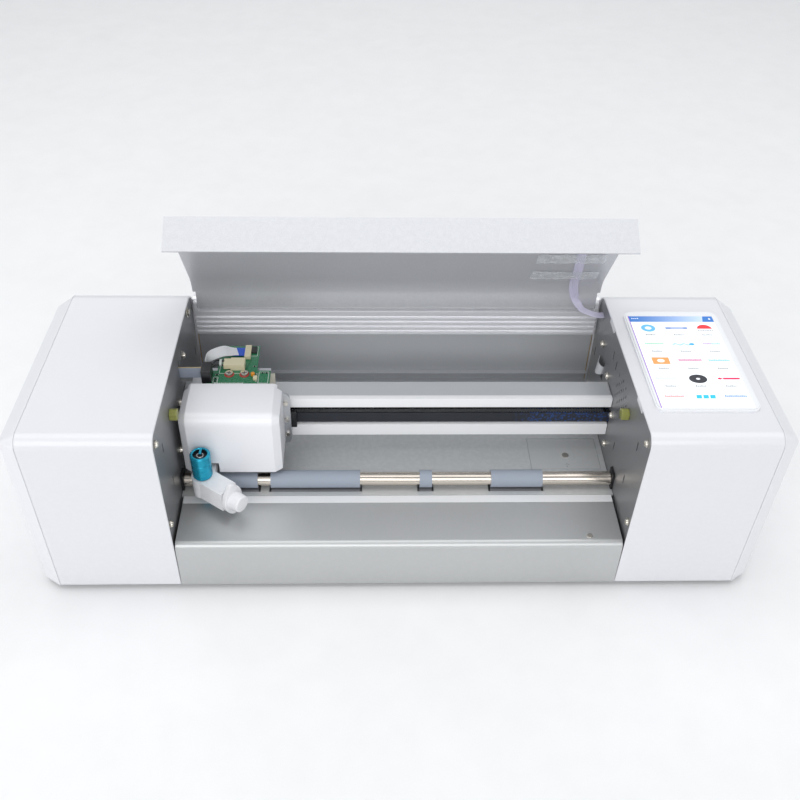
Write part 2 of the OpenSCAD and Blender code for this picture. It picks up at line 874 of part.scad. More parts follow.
// Anodised knife body with its seat groove and lower nose
module knife_holder() {
    color("#1e9dbb") at_frame() on_knife() {
        difference() {
            union() {
                translate([0, 0, 66.6]) cylinder(r = 7, h = 13);
                translate([0, 0, seat_z]) cylinder(r = 6.2, h = 9);
                translate([0, 0, 48]) cylinder(r = 4.3, h = seat_z + 0.1 - 48);
                translate([0, 0, knife_tip + 0.4]) cylinder(r1 = 2.2, r2 = 4.3, h = 48 - knife_tip - 0.4);
            }
            translate([0, 0, knife_tip - 1]) cylinder(r = 1.05, h = 60);
        }
    }
}

module blade() {
    color("#c9ccd0") at_frame() on_knife() {
        translate([0, 0, 48]) cylinder(r = 1, h = 30);
        translate([0, 0, knife_tip]) cylinder(r1 = 0.1, r2 = 1, h = 48.01 - knife_tip);
    }
}

// Turning cap that sets the blade depth
module depth_cap() {
    color("#1e9dbb") at_frame() on_knife() {
        translate([0, 0, 80]) difference() {
            cylinder(r = 7.2, h = 7);
            translate([0, 0, 3]) cylinder(r = 5, h = 6);
            translate([0, 0, 1.8]) difference() {
                cylinder(r = 3.4, h = 2);
                translate([0, 0, -1]) cylinder(r = 2.4, h = 4);
            }
        }
        translate([0, 2.6, 82.9]) cylinder(r = 1.1, h = 3.4);
    }
}

// Lid coordinates: X, distance from the hinge axis along the open lid, height out of its inner face
module on_lid() {
    translate([0, hinge_y, hinge_z]) rotate([180 - lid_open, 0, 0]) translate([0, 0, -lid_gap])
        children();
}

// Section of one face of the lid's bend, from the flat part to the end in front of the tube
function lid_bend(r, reach) = concat(
    arc([bend_s, bend_r], r, -90, lid_open - 180),
    [[0, lid_gap] + reach * [cos(lid_open), sin(lid_open)]]);

module lid_panel() {
    inner = lid_bend(bend_r, tail_out);
    outer = lid_bend(bend_r + lid_t, tail_out - lid_t);
    back = [for (i = [len(outer) - 1:-1:0]) outer[i]];
    fold = lid_len + lid_t;
    lip = [[fold, -lid_t], [fold, lip_len], [lid_len, lip_len]];
    color("#c3c7cf") at_frame() on_lid() difference() {
        along_x(-lid_half, lid_half) polygon(concat([[lid_len, 0]], inner, back, lip));
        for (s = [-1, 1]) translate([s * (lid_half + 1), 0, 0]) cube([6.2, 30, 40], center = true);
    }
}

module hinge_tube() {
    color("#f0f1f3") at_frame() {
        difference() {
            rod_x(-trim_half + ear_t + 0.4, trim_half - ear_t - 0.4, hinge_y, hinge_z, tube_r);
            rod_x(-trim_half, trim_half, hinge_y, hinge_z, pin_r + 0.08);
        }
    }
}

module lid_tapes() {
    color([0.92, 0.94, 0.96, 0.5]) at_frame() on_lid() {
        box(98, 148, 62, 76, 1.3, 1.5);
        box(98, 148, 34, 47, 1.3, 1.5);
    }
}

// Flat cable held against the lid's inner face
module lid_ribbon() {
    route = [[131, 34], [130.5, 52], [129.2, 84], [128.2, 118]];
    half = 3.5;
    color("#d9d8ea") at_frame() on_lid() translate([0, 0, 0.2]) linear_extrude(1)
        polygon(concat([for (p = route) p - [half, 0]], [for (i = [3:-1:0]) route[i] + [half, 0]]));
}

// Short straight end of the same flat cable, held in the right side plate's slot
module ribbon_lead() {
    color("#d9d8ea") at_frame()
        box(plate_in - 7, plate_in + 1.6, lead_y - 3.5, lead_y + 3.5, lead_z - 0.5, lead_z + 0.2);
}

base_plate();
side_plate_left();
side_plate_right();
housing_left();
housing_right();
end_cap_left();
end_cap_right();
front_bed();
cutting_strip();
rear_bed();
bed_hatch();
rear_panel();
hinge_bar();
hinge_pins();
beam();
upper_rail();
lower_rail();
bushings();
drive_bearings();
plate_screws();
lid_stops();
feet();
display_bezel();
display_panel();
display_board();
mainboard();
speaker();
power_inlet();
x_motor();
feed_motor();
drive_brackets();
drive_belt();
feed_belt();
motor_pulley();
idler_pulley();
feed_pinion();
drive_roller();
pinch_roller();
carriage_frame();
glide_shoes();
carriage_cover();
belt_clamp();
lift_solenoid();
carriage_board();
board_connectors();
board_ribbon();
cable_clamp();
carriage_screws();
carriage_ribbon();
knife_arm();
knife_holder();
blade();
depth_cap();
clamp_knob();
lid_panel();
hinge_tube();
lid_tapes();
lid_ribbon();
ribbon_lead();
power_rocker();
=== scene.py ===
"""Looks for a desktop film-cutting plotter: finishes for its frame, and the fine pieces on it."""

import json
import math

import bmesh
import bpy
from bpy.props import (
    BoolProperty,
    FloatProperty,
    FloatVectorProperty,
    IntProperty,
    PointerProperty,
)
from mathutils import Matrix, Vector


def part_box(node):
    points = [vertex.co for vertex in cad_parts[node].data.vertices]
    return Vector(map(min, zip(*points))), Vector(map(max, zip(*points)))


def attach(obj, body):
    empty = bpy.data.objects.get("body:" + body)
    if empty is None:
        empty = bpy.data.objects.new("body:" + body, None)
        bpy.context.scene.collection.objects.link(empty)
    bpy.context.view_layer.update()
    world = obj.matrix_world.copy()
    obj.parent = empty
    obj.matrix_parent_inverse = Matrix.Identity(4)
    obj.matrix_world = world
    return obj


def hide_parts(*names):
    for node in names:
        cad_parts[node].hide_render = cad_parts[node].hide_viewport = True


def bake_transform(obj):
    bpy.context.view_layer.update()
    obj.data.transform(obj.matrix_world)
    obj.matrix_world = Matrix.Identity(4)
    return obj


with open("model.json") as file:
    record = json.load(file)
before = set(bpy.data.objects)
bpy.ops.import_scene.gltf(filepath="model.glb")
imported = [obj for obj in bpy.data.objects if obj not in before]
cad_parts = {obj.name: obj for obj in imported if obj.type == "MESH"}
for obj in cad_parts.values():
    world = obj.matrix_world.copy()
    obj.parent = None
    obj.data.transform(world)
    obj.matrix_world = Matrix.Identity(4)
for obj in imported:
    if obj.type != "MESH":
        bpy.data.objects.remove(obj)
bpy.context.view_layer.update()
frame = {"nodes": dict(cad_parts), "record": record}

bl_info = {
    "name": "Film Cutter Looks",
    "version": (1, 0, 0),
    "blender": (4, 5, 0),
    "location": "3D View > Sidebar > Cutter",
    "description": "Finishes and fine pieces for a desktop film-cutting plotter",
    "category": "Object",
}

MM = 0.001
NODES = frame["nodes"]
SLOT_OF = {p["node"]: p["material_slot"] for p in frame["record"]["subparts"]}
# Machine point: centre line, front of the bed's apron, bottom edge of the housings
ORIGIN = Vector((0.0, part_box("front_bed")[0].y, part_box("housing_left")[0].z))
X_AXIS = Vector((1, 0, 0))
Y_AXIS = Vector((0, 1, 0))
Z_AXIS = Vector((0, 0, 1))


def at(x, y, z):
    """Row-frame point of a machine position in millimetres."""
    return ORIGIN + Vector((x, y, z)) * MM


def corners(node):
    """Lowest and highest corner of a CAD node as machine millimetres."""
    low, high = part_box(node)
    return (low - ORIGIN) / MM, (high - ORIGIN) / MM


def mix(a, b, t):
    return a * (1 - t) + b * t


# ---------------------------------------------------------------- shader groups


def new_group(name, inputs, outputs):
    """Shader node group: a default's form gives its input's kind, and only Colour puts out a colour."""
    tree = Studio.groups[name] = bpy.data.node_groups.new(name, "ShaderNodeTree")
    for label, value in inputs.items():
        kind = "Float" if isinstance(value, float) else {3: "Vector", 4: "Color"}[len(value)]
        socket = tree.interface.new_socket(label, in_out="INPUT", socket_type="NodeSocket" + kind)
        socket.default_value = value
    for label in outputs:
        kind = "Color" if label == "Colour" else "Float"
        tree.interface.new_socket(label, in_out="OUTPUT", socket_type="NodeSocket" + kind)
    return tree, tree.nodes.new("NodeGroupInput"), tree.nodes.new("NodeGroupOutput")


def feed(tree, value, socket):
    """Gives a socket its value: a number, a colour or another node's output."""
    if isinstance(value, (int, float)):
        socket.default_value = value
    elif isinstance(value, (tuple, list)):
        socket.default_value = (*value[:3], 1.0)
    else:
        tree.links.new(value, socket)


def math_node(tree, operation, a, b, clamp=False):
    node = tree.nodes.new("ShaderNodeMath")
    node.operation = operation
    node.use_clamp = clamp
    feed(tree, a, node.inputs[0])
    feed(tree, b, node.inputs[1])
    return node.outputs[0]


def plus(tree, a, b, clamp=False):
    return math_node(tree, "ADD", a, b, clamp)


def minus(tree, a, b):
    return math_node(tree, "SUBTRACT", a, b)


def times(tree, a, b, clamp=False):
    return math_node(tree, "MULTIPLY", a, b, clamp)


def ramp(tree, value, start, gain):
    """Share between 0 and 1 that rises once the value passes start."""
    return times(tree, minus(tree, value, start), gain, clamp=True)


def texture_node(tree, kind, vector, scale):
    node = tree.nodes.new(kind)
    feed(tree, vector, node.inputs["Vector"])
    feed(tree, scale, node.inputs["Scale"])
    return node


def noise_node(tree, vector, scale, detail):
    node = texture_node(tree, "ShaderNodeTexNoise", vector, scale)
    node.inputs["Detail"].default_value = detail
    return node.outputs["Fac"]


def cell_node(tree, scale):
    return texture_node(tree, "ShaderNodeTexVoronoi", own_place(tree), scale).outputs


def mix_colour(tree, factor, a, b, blend="MIX"):
    node = tree.nodes.new("ShaderNodeMix")
    node.data_type = "RGBA"
    node.blend_type = blend
    for index, value in ((0, factor), (6, a), (7, b)):
        feed(tree, value, node.inputs[index])
    return node.outputs[2]


def vector_node(tree, operation, vector, value, label):
    node = tree.nodes.new("ShaderNodeVectorMath")
    node.operation = operation
    feed(tree, vector, node.inputs[0])
    feed(tree, value, node.inputs[label])
    return node.outputs[0]


def own_place(tree):
    """Position on the part itself, in metres."""
    return tree.nodes.new("ShaderNodeTexCoord").outputs["Object"]


def split_axes(tree, vector):
    node = tree.nodes.new("ShaderNodeSeparateXYZ")
    feed(tree, vector, node.inputs[0])
    return node.outputs


def grain_group():
    """Colour blotches, roughness changes and a fine height, stretched along the grain."""
    inputs = {
        "Colour": (0.8, 0.8, 0.8, 1),
        "Tint": 0.05,
        "Roughness": 0.4,
        "Spread": 0.1,
        "Scale": 600.0,
        "Stretch": (1, 1, 1),
    }
    tree, source, sink = new_group("Grain", inputs, ("Colour", "Roughness", "Height"))
    place = own_place(tree)
    stretched = vector_node(tree, "MULTIPLY", place, source.outputs["Stretch"], 1)
    fine = noise_node(tree, stretched, source.outputs["Scale"], 4.0)
    broad = noise_node(tree, place, 18.0, 2.0)
    both = plus(tree, times(tree, fine, 0.6), times(tree, broad, 0.4))
    swing = minus(tree, both, 0.5)
    shade = plus(tree, times(tree, swing, source.outputs["Tint"]), 1.0)
    rough = times(tree, swing, source.outputs["Spread"])
    feed(tree, vector_node(tree, "SCALE", source.outputs["Colour"], shade, "Scale"), sink.inputs["Colour"])
    feed(tree, plus(tree, rough, source.outputs["Roughness"], clamp=True), sink.inputs["Roughness"])
    feed(tree, fine, sink.inputs["Height"])


def wear_group():
    """Mask of rubbed outer edges, broken up by noise."""
    tree, source, sink = new_group("Edge wear", {"Amount": 0.5, "Scale": 300.0}, ("Mask",))
    point = tree.nodes.new("ShaderNodeNewGeometry").outputs["Pointiness"]
    edge = ramp(tree, point, 0.53, 9.0)
    patches = noise_node(tree, own_place(tree), source.outputs["Scale"], 5.0)
    mask = times(tree, edge, ramp(tree, patches, 0.42, 5.0))
    feed(tree, times(tree, mask, source.outputs["Amount"], clamp=True), sink.inputs["Mask"])


def dust_group():
    """Faint dust that settles on faces that look up."""
    tree, source, sink = new_group("Dust", {"Amount": 0.1}, ("Mask",))
    normal = split_axes(tree, tree.nodes.new("ShaderNodeNewGeometry").outputs["Normal"])
    up = math_node(tree, "MAXIMUM", normal["Z"], 0.0)
    cloud = noise_node(tree, own_place(tree), 45.0, 6.0)
    mask = times(tree, up, ramp(tree, cloud, 0.4, 2.5))
    feed(tree, times(tree, mask, source.outputs["Amount"], clamp=True), sink.inputs["Mask"])


def flake_group():
    """Metal flakes: cells of changing brightness with a little height."""
    tree, source, sink = new_group("Flakes", {"Scale": 1500.0, "Amount": 0.3}, ("Shade", "Height"))
    tone = tree.nodes.new("ShaderNodeSeparateColor")
    feed(tree, cell_node(tree, source.outputs["Scale"])["Color"], tone.inputs[0])
    swing = times(tree, minus(tree, tone.outputs[0], 0.5), source.outputs["Amount"])
    feed(tree, plus(tree, swing, 1.0), sink.inputs["Shade"])
    feed(tree, tone.outputs[1], sink.inputs["Height"])


# ---------------------------------------------------------------- finishes

ALONG_X = (0.02, 1, 1)
ALONG_Z = (1, 1, 0.03)
EVEN = (1, 1, 1)

# Slot: colour, roughness, metal, grain size per metre, stretch, bump depth in mm, tint, spread, wear, coat
FINISHES = {
    "housing_white": ((0.77, 0.77, 0.80), 0.30, 0.0, 2400, EVEN, 0.010, 0.02, 0.08, 0.25, 0.5),
    "cap_white": ((0.80, 0.80, 0.83), 0.34, 0.0, 2400, EVEN, 0.010, 0.02, 0.08, 0.25, 0.4),
    "plate_grey": ((0.27, 0.272, 0.28), 0.38, 0.55, 2600, EVEN, 0.012, 0.10, 0.14, 0.25, 0.0),
    "base_grey": ((0.42, 0.43, 0.45), 0.45, 0.8, 2200, EVEN, 0.012, 0.10, 0.15, 0.3, 0.0),
    "bed_satin": ((0.56, 0.57, 0.57), 0.40, 0.75, 2800, EVEN, 0.010, 0.08, 0.12, 0.2, 0.0),
    # Lighter copy of bed_satin: painted light for the rear bed in the lid's shade
    "bed_satin_painted_light": ((0.62, 0.635, 0.64), 0.42, 0.35, 2800, EVEN, 0.010, 0.08, 0.12, 0.2, 0.0),
    "strip_white": ((0.84, 0.85, 0.86), 0.50, 0.0, 3000, EVEN, 0.015, 0.05, 0.12, 0.1, 0.0),
    "panel_grey": ((0.56, 0.57, 0.59), 0.36, 0.40, 2600, EVEN, 0.010, 0.08, 0.12, 0.1, 0.0),
    # Hinge bar: light grey, partly its own colour and partly a painted reflection of the front light on its
    # front face
    "bar_grey": ((0.90, 0.90, 0.93), 0.24, 0.40, 1500, ALONG_X, 0.0008, 0.06, 0.08, 0.1, 0.0),
    "beam_grey": ((0.64, 0.655, 0.67), 0.38, 0.40, 2000, ALONG_X, 0.001, 0.08, 0.10, 0.1, 0.0),
    "rail_white": ((0.97, 0.97, 0.98), 0.24, 0.0, 1500, ALONG_X, 0.0006, 0.02, 0.06, 0.1, 0.2),
    "bushing_black": ((0.015, 0.015, 0.016), 0.45, 0.0, 1800, EVEN, 0.03, 0.2, 0.15, 0.3, 0.0),
    "bearing_steel": ((0.55, 0.55, 0.56), 0.28, 1.0, 1800, EVEN, 0.006, 0.12, 0.10, 0.3, 0.0),
    "screw_steel": ((0.80, 0.76, 0.68), 0.20, 1.0, 1600, EVEN, 0.008, 0.15, 0.12, 0.2, 0.0),
    "stop_yellow": ((0.29, 0.30, 0.07), 0.30, 0.0, 900, EVEN, 0.02, 0.25, 0.10, 0.0, 0.3),
    "foot_rubber": ((0.02, 0.02, 0.021), 0.75, 0.0, 1500, EVEN, 0.06, 0.25, 0.15, 0.4, 0.0),
    "bezel_white": ((0.88, 0.89, 0.91), 0.22, 0.0, 2600, EVEN, 0.004, 0.02, 0.05, 0.1, 0.6),
    "board_green": ((0.008, 0.19, 0.075), 0.28, 0.0, 1300, EVEN, 0.02, 0.35, 0.15, 0.0, 0.5),
    "speaker_black": ((0.02, 0.02, 0.022), 0.6, 0.0, 1500, EVEN, 0.04, 0.2, 0.15, 0.2, 0.0),
    "inlet_black": ((0.018, 0.018, 0.02), 0.48, 0.0, 1700, EVEN, 0.03, 0.2, 0.15, 0.4, 0.0),
    "motor_black": ((0.03, 0.03, 0.034), 0.42, 0.3, 1700, EVEN, 0.02, 0.2, 0.15, 0.4, 0.0),
    "pulley_alu": ((0.66, 0.67, 0.68), 0.30, 1.0, 1500, EVEN, 0.01, 0.1, 0.12, 0.3, 0.0),
    "drive_steel": ((0.30, 0.30, 0.31), 0.42, 0.9, 3200, EVEN, 0.10, 0.3, 0.15, 0.3, 0.0),
    "frame_alu": ((0.62, 0.63, 0.65), 0.36, 0.85, 2000, EVEN, 0.01, 0.1, 0.12, 0.2, 0.0),
    "glide_cream": ((0.74, 0.70, 0.58), 0.5, 0.0, 1500, EVEN, 0.02, 0.1, 0.12, 0.2, 0.0),
    "cover_white": ((0.90, 0.90, 0.93), 0.34, 0.0, 2600, EVEN, 0.012, 0.02, 0.08, 0.15, 0.3),
    "clamp_black": ((0.012, 0.012, 0.014), 0.38, 0.0, 1500, EVEN, 0.03, 0.2, 0.15, 0.3, 0.2),
    "coil_grey": ((0.06, 0.06, 0.07), 0.45, 0.3, 1500, EVEN, 0.03, 0.2, 0.15, 0.3, 0.0),
    "plug_cream": ((0.76, 0.70, 0.48), 0.38, 0.0, 1500, EVEN, 0.02, 0.1, 0.12, 0.1, 0.2),
    "ribbon_white": ((0.82, 0.83, 0.85), 0.36, 0.0, 1500, EVEN, 0.01, 0.05, 0.10, 0.0, 0.2),
    # Carriage cable: a white flat cable, given blue-grey as painted shade from the left housing
    "ribbon_grey": ((0.43, 0.48, 0.58), 0.38, 0.0, 1500, EVEN, 0.01, 0.1, 0.12, 0.0, 0.2),
    "arm_white": ((0.86, 0.86, 0.88), 0.42, 0.0, 2600, EVEN, 0.02, 0.04, 0.12, 0.2, 0.0),
    "knife_teal": ((0.016, 0.37, 0.54), 0.26, 0.65, 1700, EVEN, 0.006, 0.12, 0.10, 0.25, 0.0),
    "blade_steel": ((0.70, 0.71, 0.73), 0.18, 1.0, 1700, ALONG_Z, 0.004, 0.1, 0.1, 0.2, 0.0),
    "knob_white": ((0.87, 0.87, 0.89), 0.32, 0.0, 2600, EVEN, 0.012, 0.03, 0.10, 0.1, 0.2),
    "tube_white": ((0.86, 0.86, 0.88), 0.25, 0.3, 1800, ALONG_X, 0.001, 0.05, 0.10, 0.1, 0.2),
    "ribbon_lilac": ((0.62, 0.60, 0.74), 0.36, 0.0, 1500, EVEN, 0.01, 0.06, 0.12, 0.0, 0.2),
}

# CAD nodes whose finish differs from their record slot: the rear bed and its hatch take a lighter copy of the
# bed finish, painted light against the lid's shade
NODE_FINISH = {"rear_bed": "bed_satin_painted_light", "bed_hatch": "bed_satin_painted_light"}

# Edge radius of the CAD nodes in millimetres; the rest use the default
EDGE_RADIUS = {
    "housing_left": 0.7,
    "housing_right": 0.7,
    "end_cap_left": 1.2,
    "end_cap_right": 1.2,
    "carriage_cover": 0.9,
    "clamp_knob": 1.1,
    "knife_arm": 1.0,
    "display_bezel": 0.35,
    "power_rocker": 0.4,
    "lid_panel": 0.4,
    "knife_holder": 0.35,
    "depth_cap": 0.35,
    "lid_stops": 0.5,
    "beam": 0.5,
    "rear_panel": 0.3,
}

# Creases sharper than this are rounded and keep their edge in the shading
CREASE = math.radians(32)
# Where the belt's painted blue sheen fades in, as X in metres
BLUE_SHEEN_SPAN = (0.085, 0.105)
# Rubber starts this far under the sleeves' surface, in millimetres
SLEEVE_DEPTH = 0.8


class Studio:
    """Node groups and materials that have been built so far."""

    groups = {}
    materials = {}


def group_node(tree, name, **values):
    """Node of a group that is already built; gives its outputs."""
    node = tree.nodes.new("ShaderNodeGroup")
    node.node_tree = Studio.groups[name]
    for label, value in values.items():
        node.inputs[label].default_value = value
    return node.outputs


def blank_material(name):
    """New material with a Principled shader; gives its tree and the shader."""
    material = Studio.materials[name] = bpy.data.materials.new(name)
    material.use_nodes = True
    return material.node_tree, material.node_tree.nodes["Principled BSDF"]


def finish_shader(tree, shader, colour, rough, height, depth):
    """Colour, roughness and bump of a shader; the depth is in millimetres."""
    feed(tree, colour, shader.inputs["Base Color"])
    feed(tree, rough, shader.inputs["Roughness"])
    bump = tree.nodes.new("ShaderNodeBump")
    bump.inputs["Strength"].default_value = 0.6
    bump.inputs["Distance"].default_value = depth * MM
    feed(tree, height, bump.inputs["Height"])
    feed(tree, bump.outputs[0], shader.inputs["Normal"])


def grain_node(tree, colour, tint, rough, spread, scale, stretch=EVEN):
    values = {"Tint": tint, "Roughness": rough, "Spread": spread, "Scale": scale, "Stretch": stretch}
    return group_node(tree, "Grain", Colour=(*colour, 1), **values)


def finish_material(name, colour, rough, metal, scale, stretch, depth, tint, spread, wear, coat):
    """Grained, slightly dusty surface with rubbed edges."""
    tree, shader = blank_material(name)
    grain = grain_node(tree, colour, tint, rough, spread, scale, stretch)
    shown = grain["Colour"]
    if wear > 0:
        bare = tuple(min(1.0, c * 1.25 + 0.03) for c in colour)
        shown = mix_colour(tree, group_node(tree, "Edge wear", Amount=wear)["Mask"], shown, bare)
    dust = group_node(tree, "Dust", Amount=0.06)
    shown = mix_colour(tree, dust["Mask"], shown, (0.6, 0.59, 0.57))
    shader.inputs["Metallic"].default_value = metal
    shader.inputs["Coat Weight"].default_value = coat
    shader.inputs["Coat Roughness"].default_value = 0.12
    finish_shader(tree, shader, shown, grain["Roughness"], grain["Height"], depth)


def lid_material(name, colour):
    """Metallic paint with flakes and rubbed edges."""
    tree, shader = blank_material(name)
    flakes = group_node(tree, "Flakes", Scale=3600.0, Amount=0.12)
    grain = grain_node(tree, colour, 0.06, 0.36, 0.12, 2400.0)
    flaked = vector_node(tree, "SCALE", grain["Colour"], flakes["Shade"], "Scale")
    worn = group_node(tree, "Edge wear", Amount=0.3)
    shown = mix_colour(tree, worn["Mask"], flaked, (0.85, 0.85, 0.85))
    shader.inputs["Metallic"].default_value = 0.38
    finish_shader(tree, shader, shown, grain["Roughness"], flakes["Height"], 0.003)


def belt_material(name, colour):
    """Black rubber with a painted blue sheen: woven blue patches that fade in towards its right end."""
    tree, shader = blank_material(name)
    grain = grain_node(tree, colour, 0.4, 0.6, 0.2, 1400.0)
    reach = tree.nodes.new("ShaderNodeMapRange")
    reach.inputs["From Min"].default_value, reach.inputs["From Max"].default_value = BLUE_SHEEN_SPAN
    feed(tree, split_axes(tree, own_place(tree))["X"], reach.inputs["Value"])
    # Painted blue sheen: woven blue patches mixed into the rubber towards the right end
    patch = times(tree, minus(tree, 0.55, cell_node(tree, 520.0)["Distance"]), 2.2, clamp=True)
    mask = times(tree, patch, reach.outputs[0], clamp=True)
    blue = mix_colour(tree, mask, grain["Colour"], (0.02, 0.08, 0.30))
    finish_shader(tree, shader, blue, grain["Roughness"], grain["Height"], 0.05)


def roller_material(name, steel_colour, sleeve_colour, core_radius, middle):
    """Polished steel shaft whose thicker sleeves are matte grey rubber."""
    tree, shader = blank_material(name)
    steel = grain_node(tree, steel_colour, 0.25, 0.2, 0.12, 260.0, ALONG_X)
    rubber = grain_node(tree, sleeve_colour, 0.12, 0.56, 0.15, 2200.0)
    place = split_axes(tree, own_place(tree))
    dy = minus(tree, place["Y"], middle.y)
    dz = minus(tree, place["Z"], middle.z)
    radius = math_node(tree, "SQRT", plus(tree, times(tree, dy, dy), times(tree, dz, dz)), 0.0)
    is_sleeve = math_node(tree, "GREATER_THAN", radius, core_radius)
    shown = mix_colour(tree, is_sleeve, steel["Colour"], rubber["Colour"])
    rough = tree.nodes.new("ShaderNodeMix")
    for socket, value in zip((0, 2, 3), (is_sleeve, steel["Roughness"], rubber["Roughness"])):
        feed(tree, value, rough.inputs[socket])
    feed(tree, minus(tree, 1.0, is_sleeve), shader.inputs["Metallic"])
    finish_shader(tree, shader, shown, rough.outputs[0], rubber["Height"], 0.02)


def clear_material(name, colour):
    """Thin clear film with faint wrinkles and a dusty haze."""
    tree, shader = blank_material(name)
    grain = grain_node(tree, colour, 0.1, 0.25, 0.2, 120.0)
    feed(tree, times(tree, grain["Height"], 0.55, clamp=True), shader.inputs["Alpha"])
    finish_shader(tree, shader, grain["Colour"], grain["Roughness"], grain["Height"], 0.3)


def screen_material(name, glow):
    """Lit display: the colours of the page are stored on its mesh, over a faint pixel grid."""
    tree, shader = blank_material(name)
    ink = tree.nodes.new("ShaderNodeVertexColor")
    ink.layer_name = "ink"
    grid = texture_node(tree, "ShaderNodeTexChecker", own_place(tree), 3400.0)
    grid.inputs["Color1"].default_value = (1, 1, 1, 1)
    grid.inputs["Color2"].default_value = (0.96, 0.97, 0.98, 1)
    lit = mix_colour(tree, 1.0, ink.outputs["Color"], grid.outputs["Color"], "MULTIPLY")
    grain = group_node(tree, "Grain", Tint=0.0, Roughness=0.16, Spread=0.08, Scale=60.0)
    feed(tree, lit, shader.inputs["Base Color"])
    feed(tree, lit, shader.inputs["Emission Color"])
    feed(tree, grain["Roughness"], shader.inputs["Roughness"])
    shader.inputs["Emission Strength"].default_value = glow


def finish_for(slot):
    """Material of a record slot, built on first use."""
    if slot not in Studio.materials:
        finish_material(slot, *FINISHES[slot])
    return Studio.materials[slot]


def plain_finish(name, colour, rough=0.4, metal=0.0, coat=0.0):
    """Finish for a small new piece, with its own colour."""
    if name not in Studio.materials:
        finish_material(name, colour, rough, metal, 1500, EVEN, 0.015, 0.12, 0.12, 0.0, coat)
    return Studio.materials[name]


# ---------------------------------------------------------------- mesh helpers


def rectangle(left, front, right, back):
    return [(left, front), (right, front), (right, back), (left, back)]


def add_band(bm, low, high):
    """Faces between two rings of vertices that have the same count."""
    following = zip(low[1:] + low[:1], high[1:] + high[:1])
    return [bm.faces.new((a, b, d, c)) for (a, c), (b, d) in zip(zip(low, high), following)]


def add_prism(bm, outline, rise, index=0):
    """Closed solid: an outline of 3-D points, pushed along the vector rise."""
    low = [bm.verts.new(p) for p in outline]
    high = [bm.verts.new(p + rise) for p in outline]
    faces = [bm.faces.new(list(reversed(low))), bm.faces.new(high)] + add_band(bm, low, high)
    for face in faces:
        face.material_index = index
    return faces


def add_box(bm, low, high, index=0):
    """Box between two machine corners in millimetres."""
    outline = [at(x, y, low[2]) for x, y in rectangle(low[0], low[1], high[0], high[1])]
    add_prism(bm, outline, Z_AXIS * (high[2] - low[2]) * MM, index)


def ring_points(centre, axis, radius, count):
    side = axis.orthogonal().normalized()
    other = axis.cross(side).normalized()
    steps = (2 * math.pi * i / count for i in range(count))
    return [centre + (side * math.cos(a) + other * math.sin(a)) * radius for a in steps]


def add_rod(bm, start, end, radius, count=24):
    """Round bar between two row-frame points; the radius is in millimetres."""
    axis = end - start
    add_prism(bm, ring_points(start, axis.normalized(), radius * MM, count), axis)


def smooth_path(points, per_span=6):
    """Catmull-Rom points through a short list of points."""
    ends = [points[0] * 2 - points[1]] + list(points) + [points[-1] * 2 - points[-2]]
    path = []
    for i in range(len(points) - 1):
        a, b, c, d = ends[i : i + 4]
        for k in range(per_span):
            t = k / per_span
            curve = 2 * b + (c - a) * t + (2 * a - 5 * b + 4 * c - d) * t**2 + (3 * b - a - 3 * c + d) * t**3
            path.append(0.5 * curve)
    return path + [points[-1]]


def add_sweep(bm, sections):
    """Closed tube through rings of points that all have the same count."""
    rings = [[bm.verts.new(p) for p in ring] for ring in sections]
    bm.faces.new(list(reversed(rings[0])))
    bm.faces.new(rings[-1])
    for a, b in zip(rings, rings[1:]):
        add_band(bm, a, b)


def along_path(path, i):
    """Direction of a path at one of its points."""
    return (path[min(i + 1, len(path) - 1)] - path[max(i - 1, 0)]).normalized()


def add_wire(bm, points, radius):
    """Round wire along a smooth path."""
    path = smooth_path(points)
    sections = []
    side = None
    for i, p in enumerate(path):
        along = along_path(path, i)
        side = along.orthogonal() if side is None else side - along * side.dot(along)
        side.normalize()
        other = along.cross(side)
        turns = (2 * math.pi * k / 10 for k in range(10))
        sections.append([p + (side * math.cos(a) + other * math.sin(a)) * radius * MM for a in turns])
    add_sweep(bm, sections)


def add_ribbon(bm, points, widths, across, thick, per_span=6, lanes=6, strands=0):
    """Flat strip along a smooth path; across gives the width direction at every point.

    Strands swell across the width like the cores of a flat cable.
    """
    path = smooth_path(points, per_span)
    sides = smooth_path(across, per_span)
    spans = len(points) - 1
    sections = []
    for i, p in enumerate(path):
        share = i / (len(path) - 1) * spans
        k = min(int(share), spans - 1)
        half = mix(widths[k], widths[k + 1], share - k) / 2 * MM
        along = along_path(path, i)
        side = (sides[i] - along * sides[i].dot(along)).normalized()
        out = along.cross(side).normalized() * thick / 2 * MM
        steps = [2 * j / lanes - 1 for j in range(lanes + 1)]
        swell = [0.75 - 0.45 * math.cos(math.pi * strands * (s + 1)) if strands else 1.0 for s in steps]
        ring = [p + side * half * s + out * k for s, k in zip(steps, swell)]
        ring += [p + side * half * s - out * k for s, k in zip(reversed(steps), reversed(swell))]
        sections.append(ring)
    add_sweep(bm, sections)


def add_lathe(bm, centre, axis, profile, count=56, bands=None, ring=False):
    """Solid of revolution: a profile of distances along the axis and radii, in millimetres.

    Bands gives a material to each step of the profile. A ring's profile closes on itself.
    """
    rings = []
    for reach, radius in profile:
        points = ring_points(centre + axis * reach * MM, axis, max(radius, 0.01) * MM, count)
        rings.append([bm.verts.new(p) for p in points])
    pairs = list(zip(rings, rings[1:]))
    if ring:
        pairs.append((rings[-1], rings[0]))
    else:
        bm.faces.new(list(reversed(rings[0])))
        bm.faces.new(rings[-1])
    for k, (a, b) in enumerate(pairs):
        for face in add_band(bm, a, b):
            face.material_index = bands[k] if bands else 0


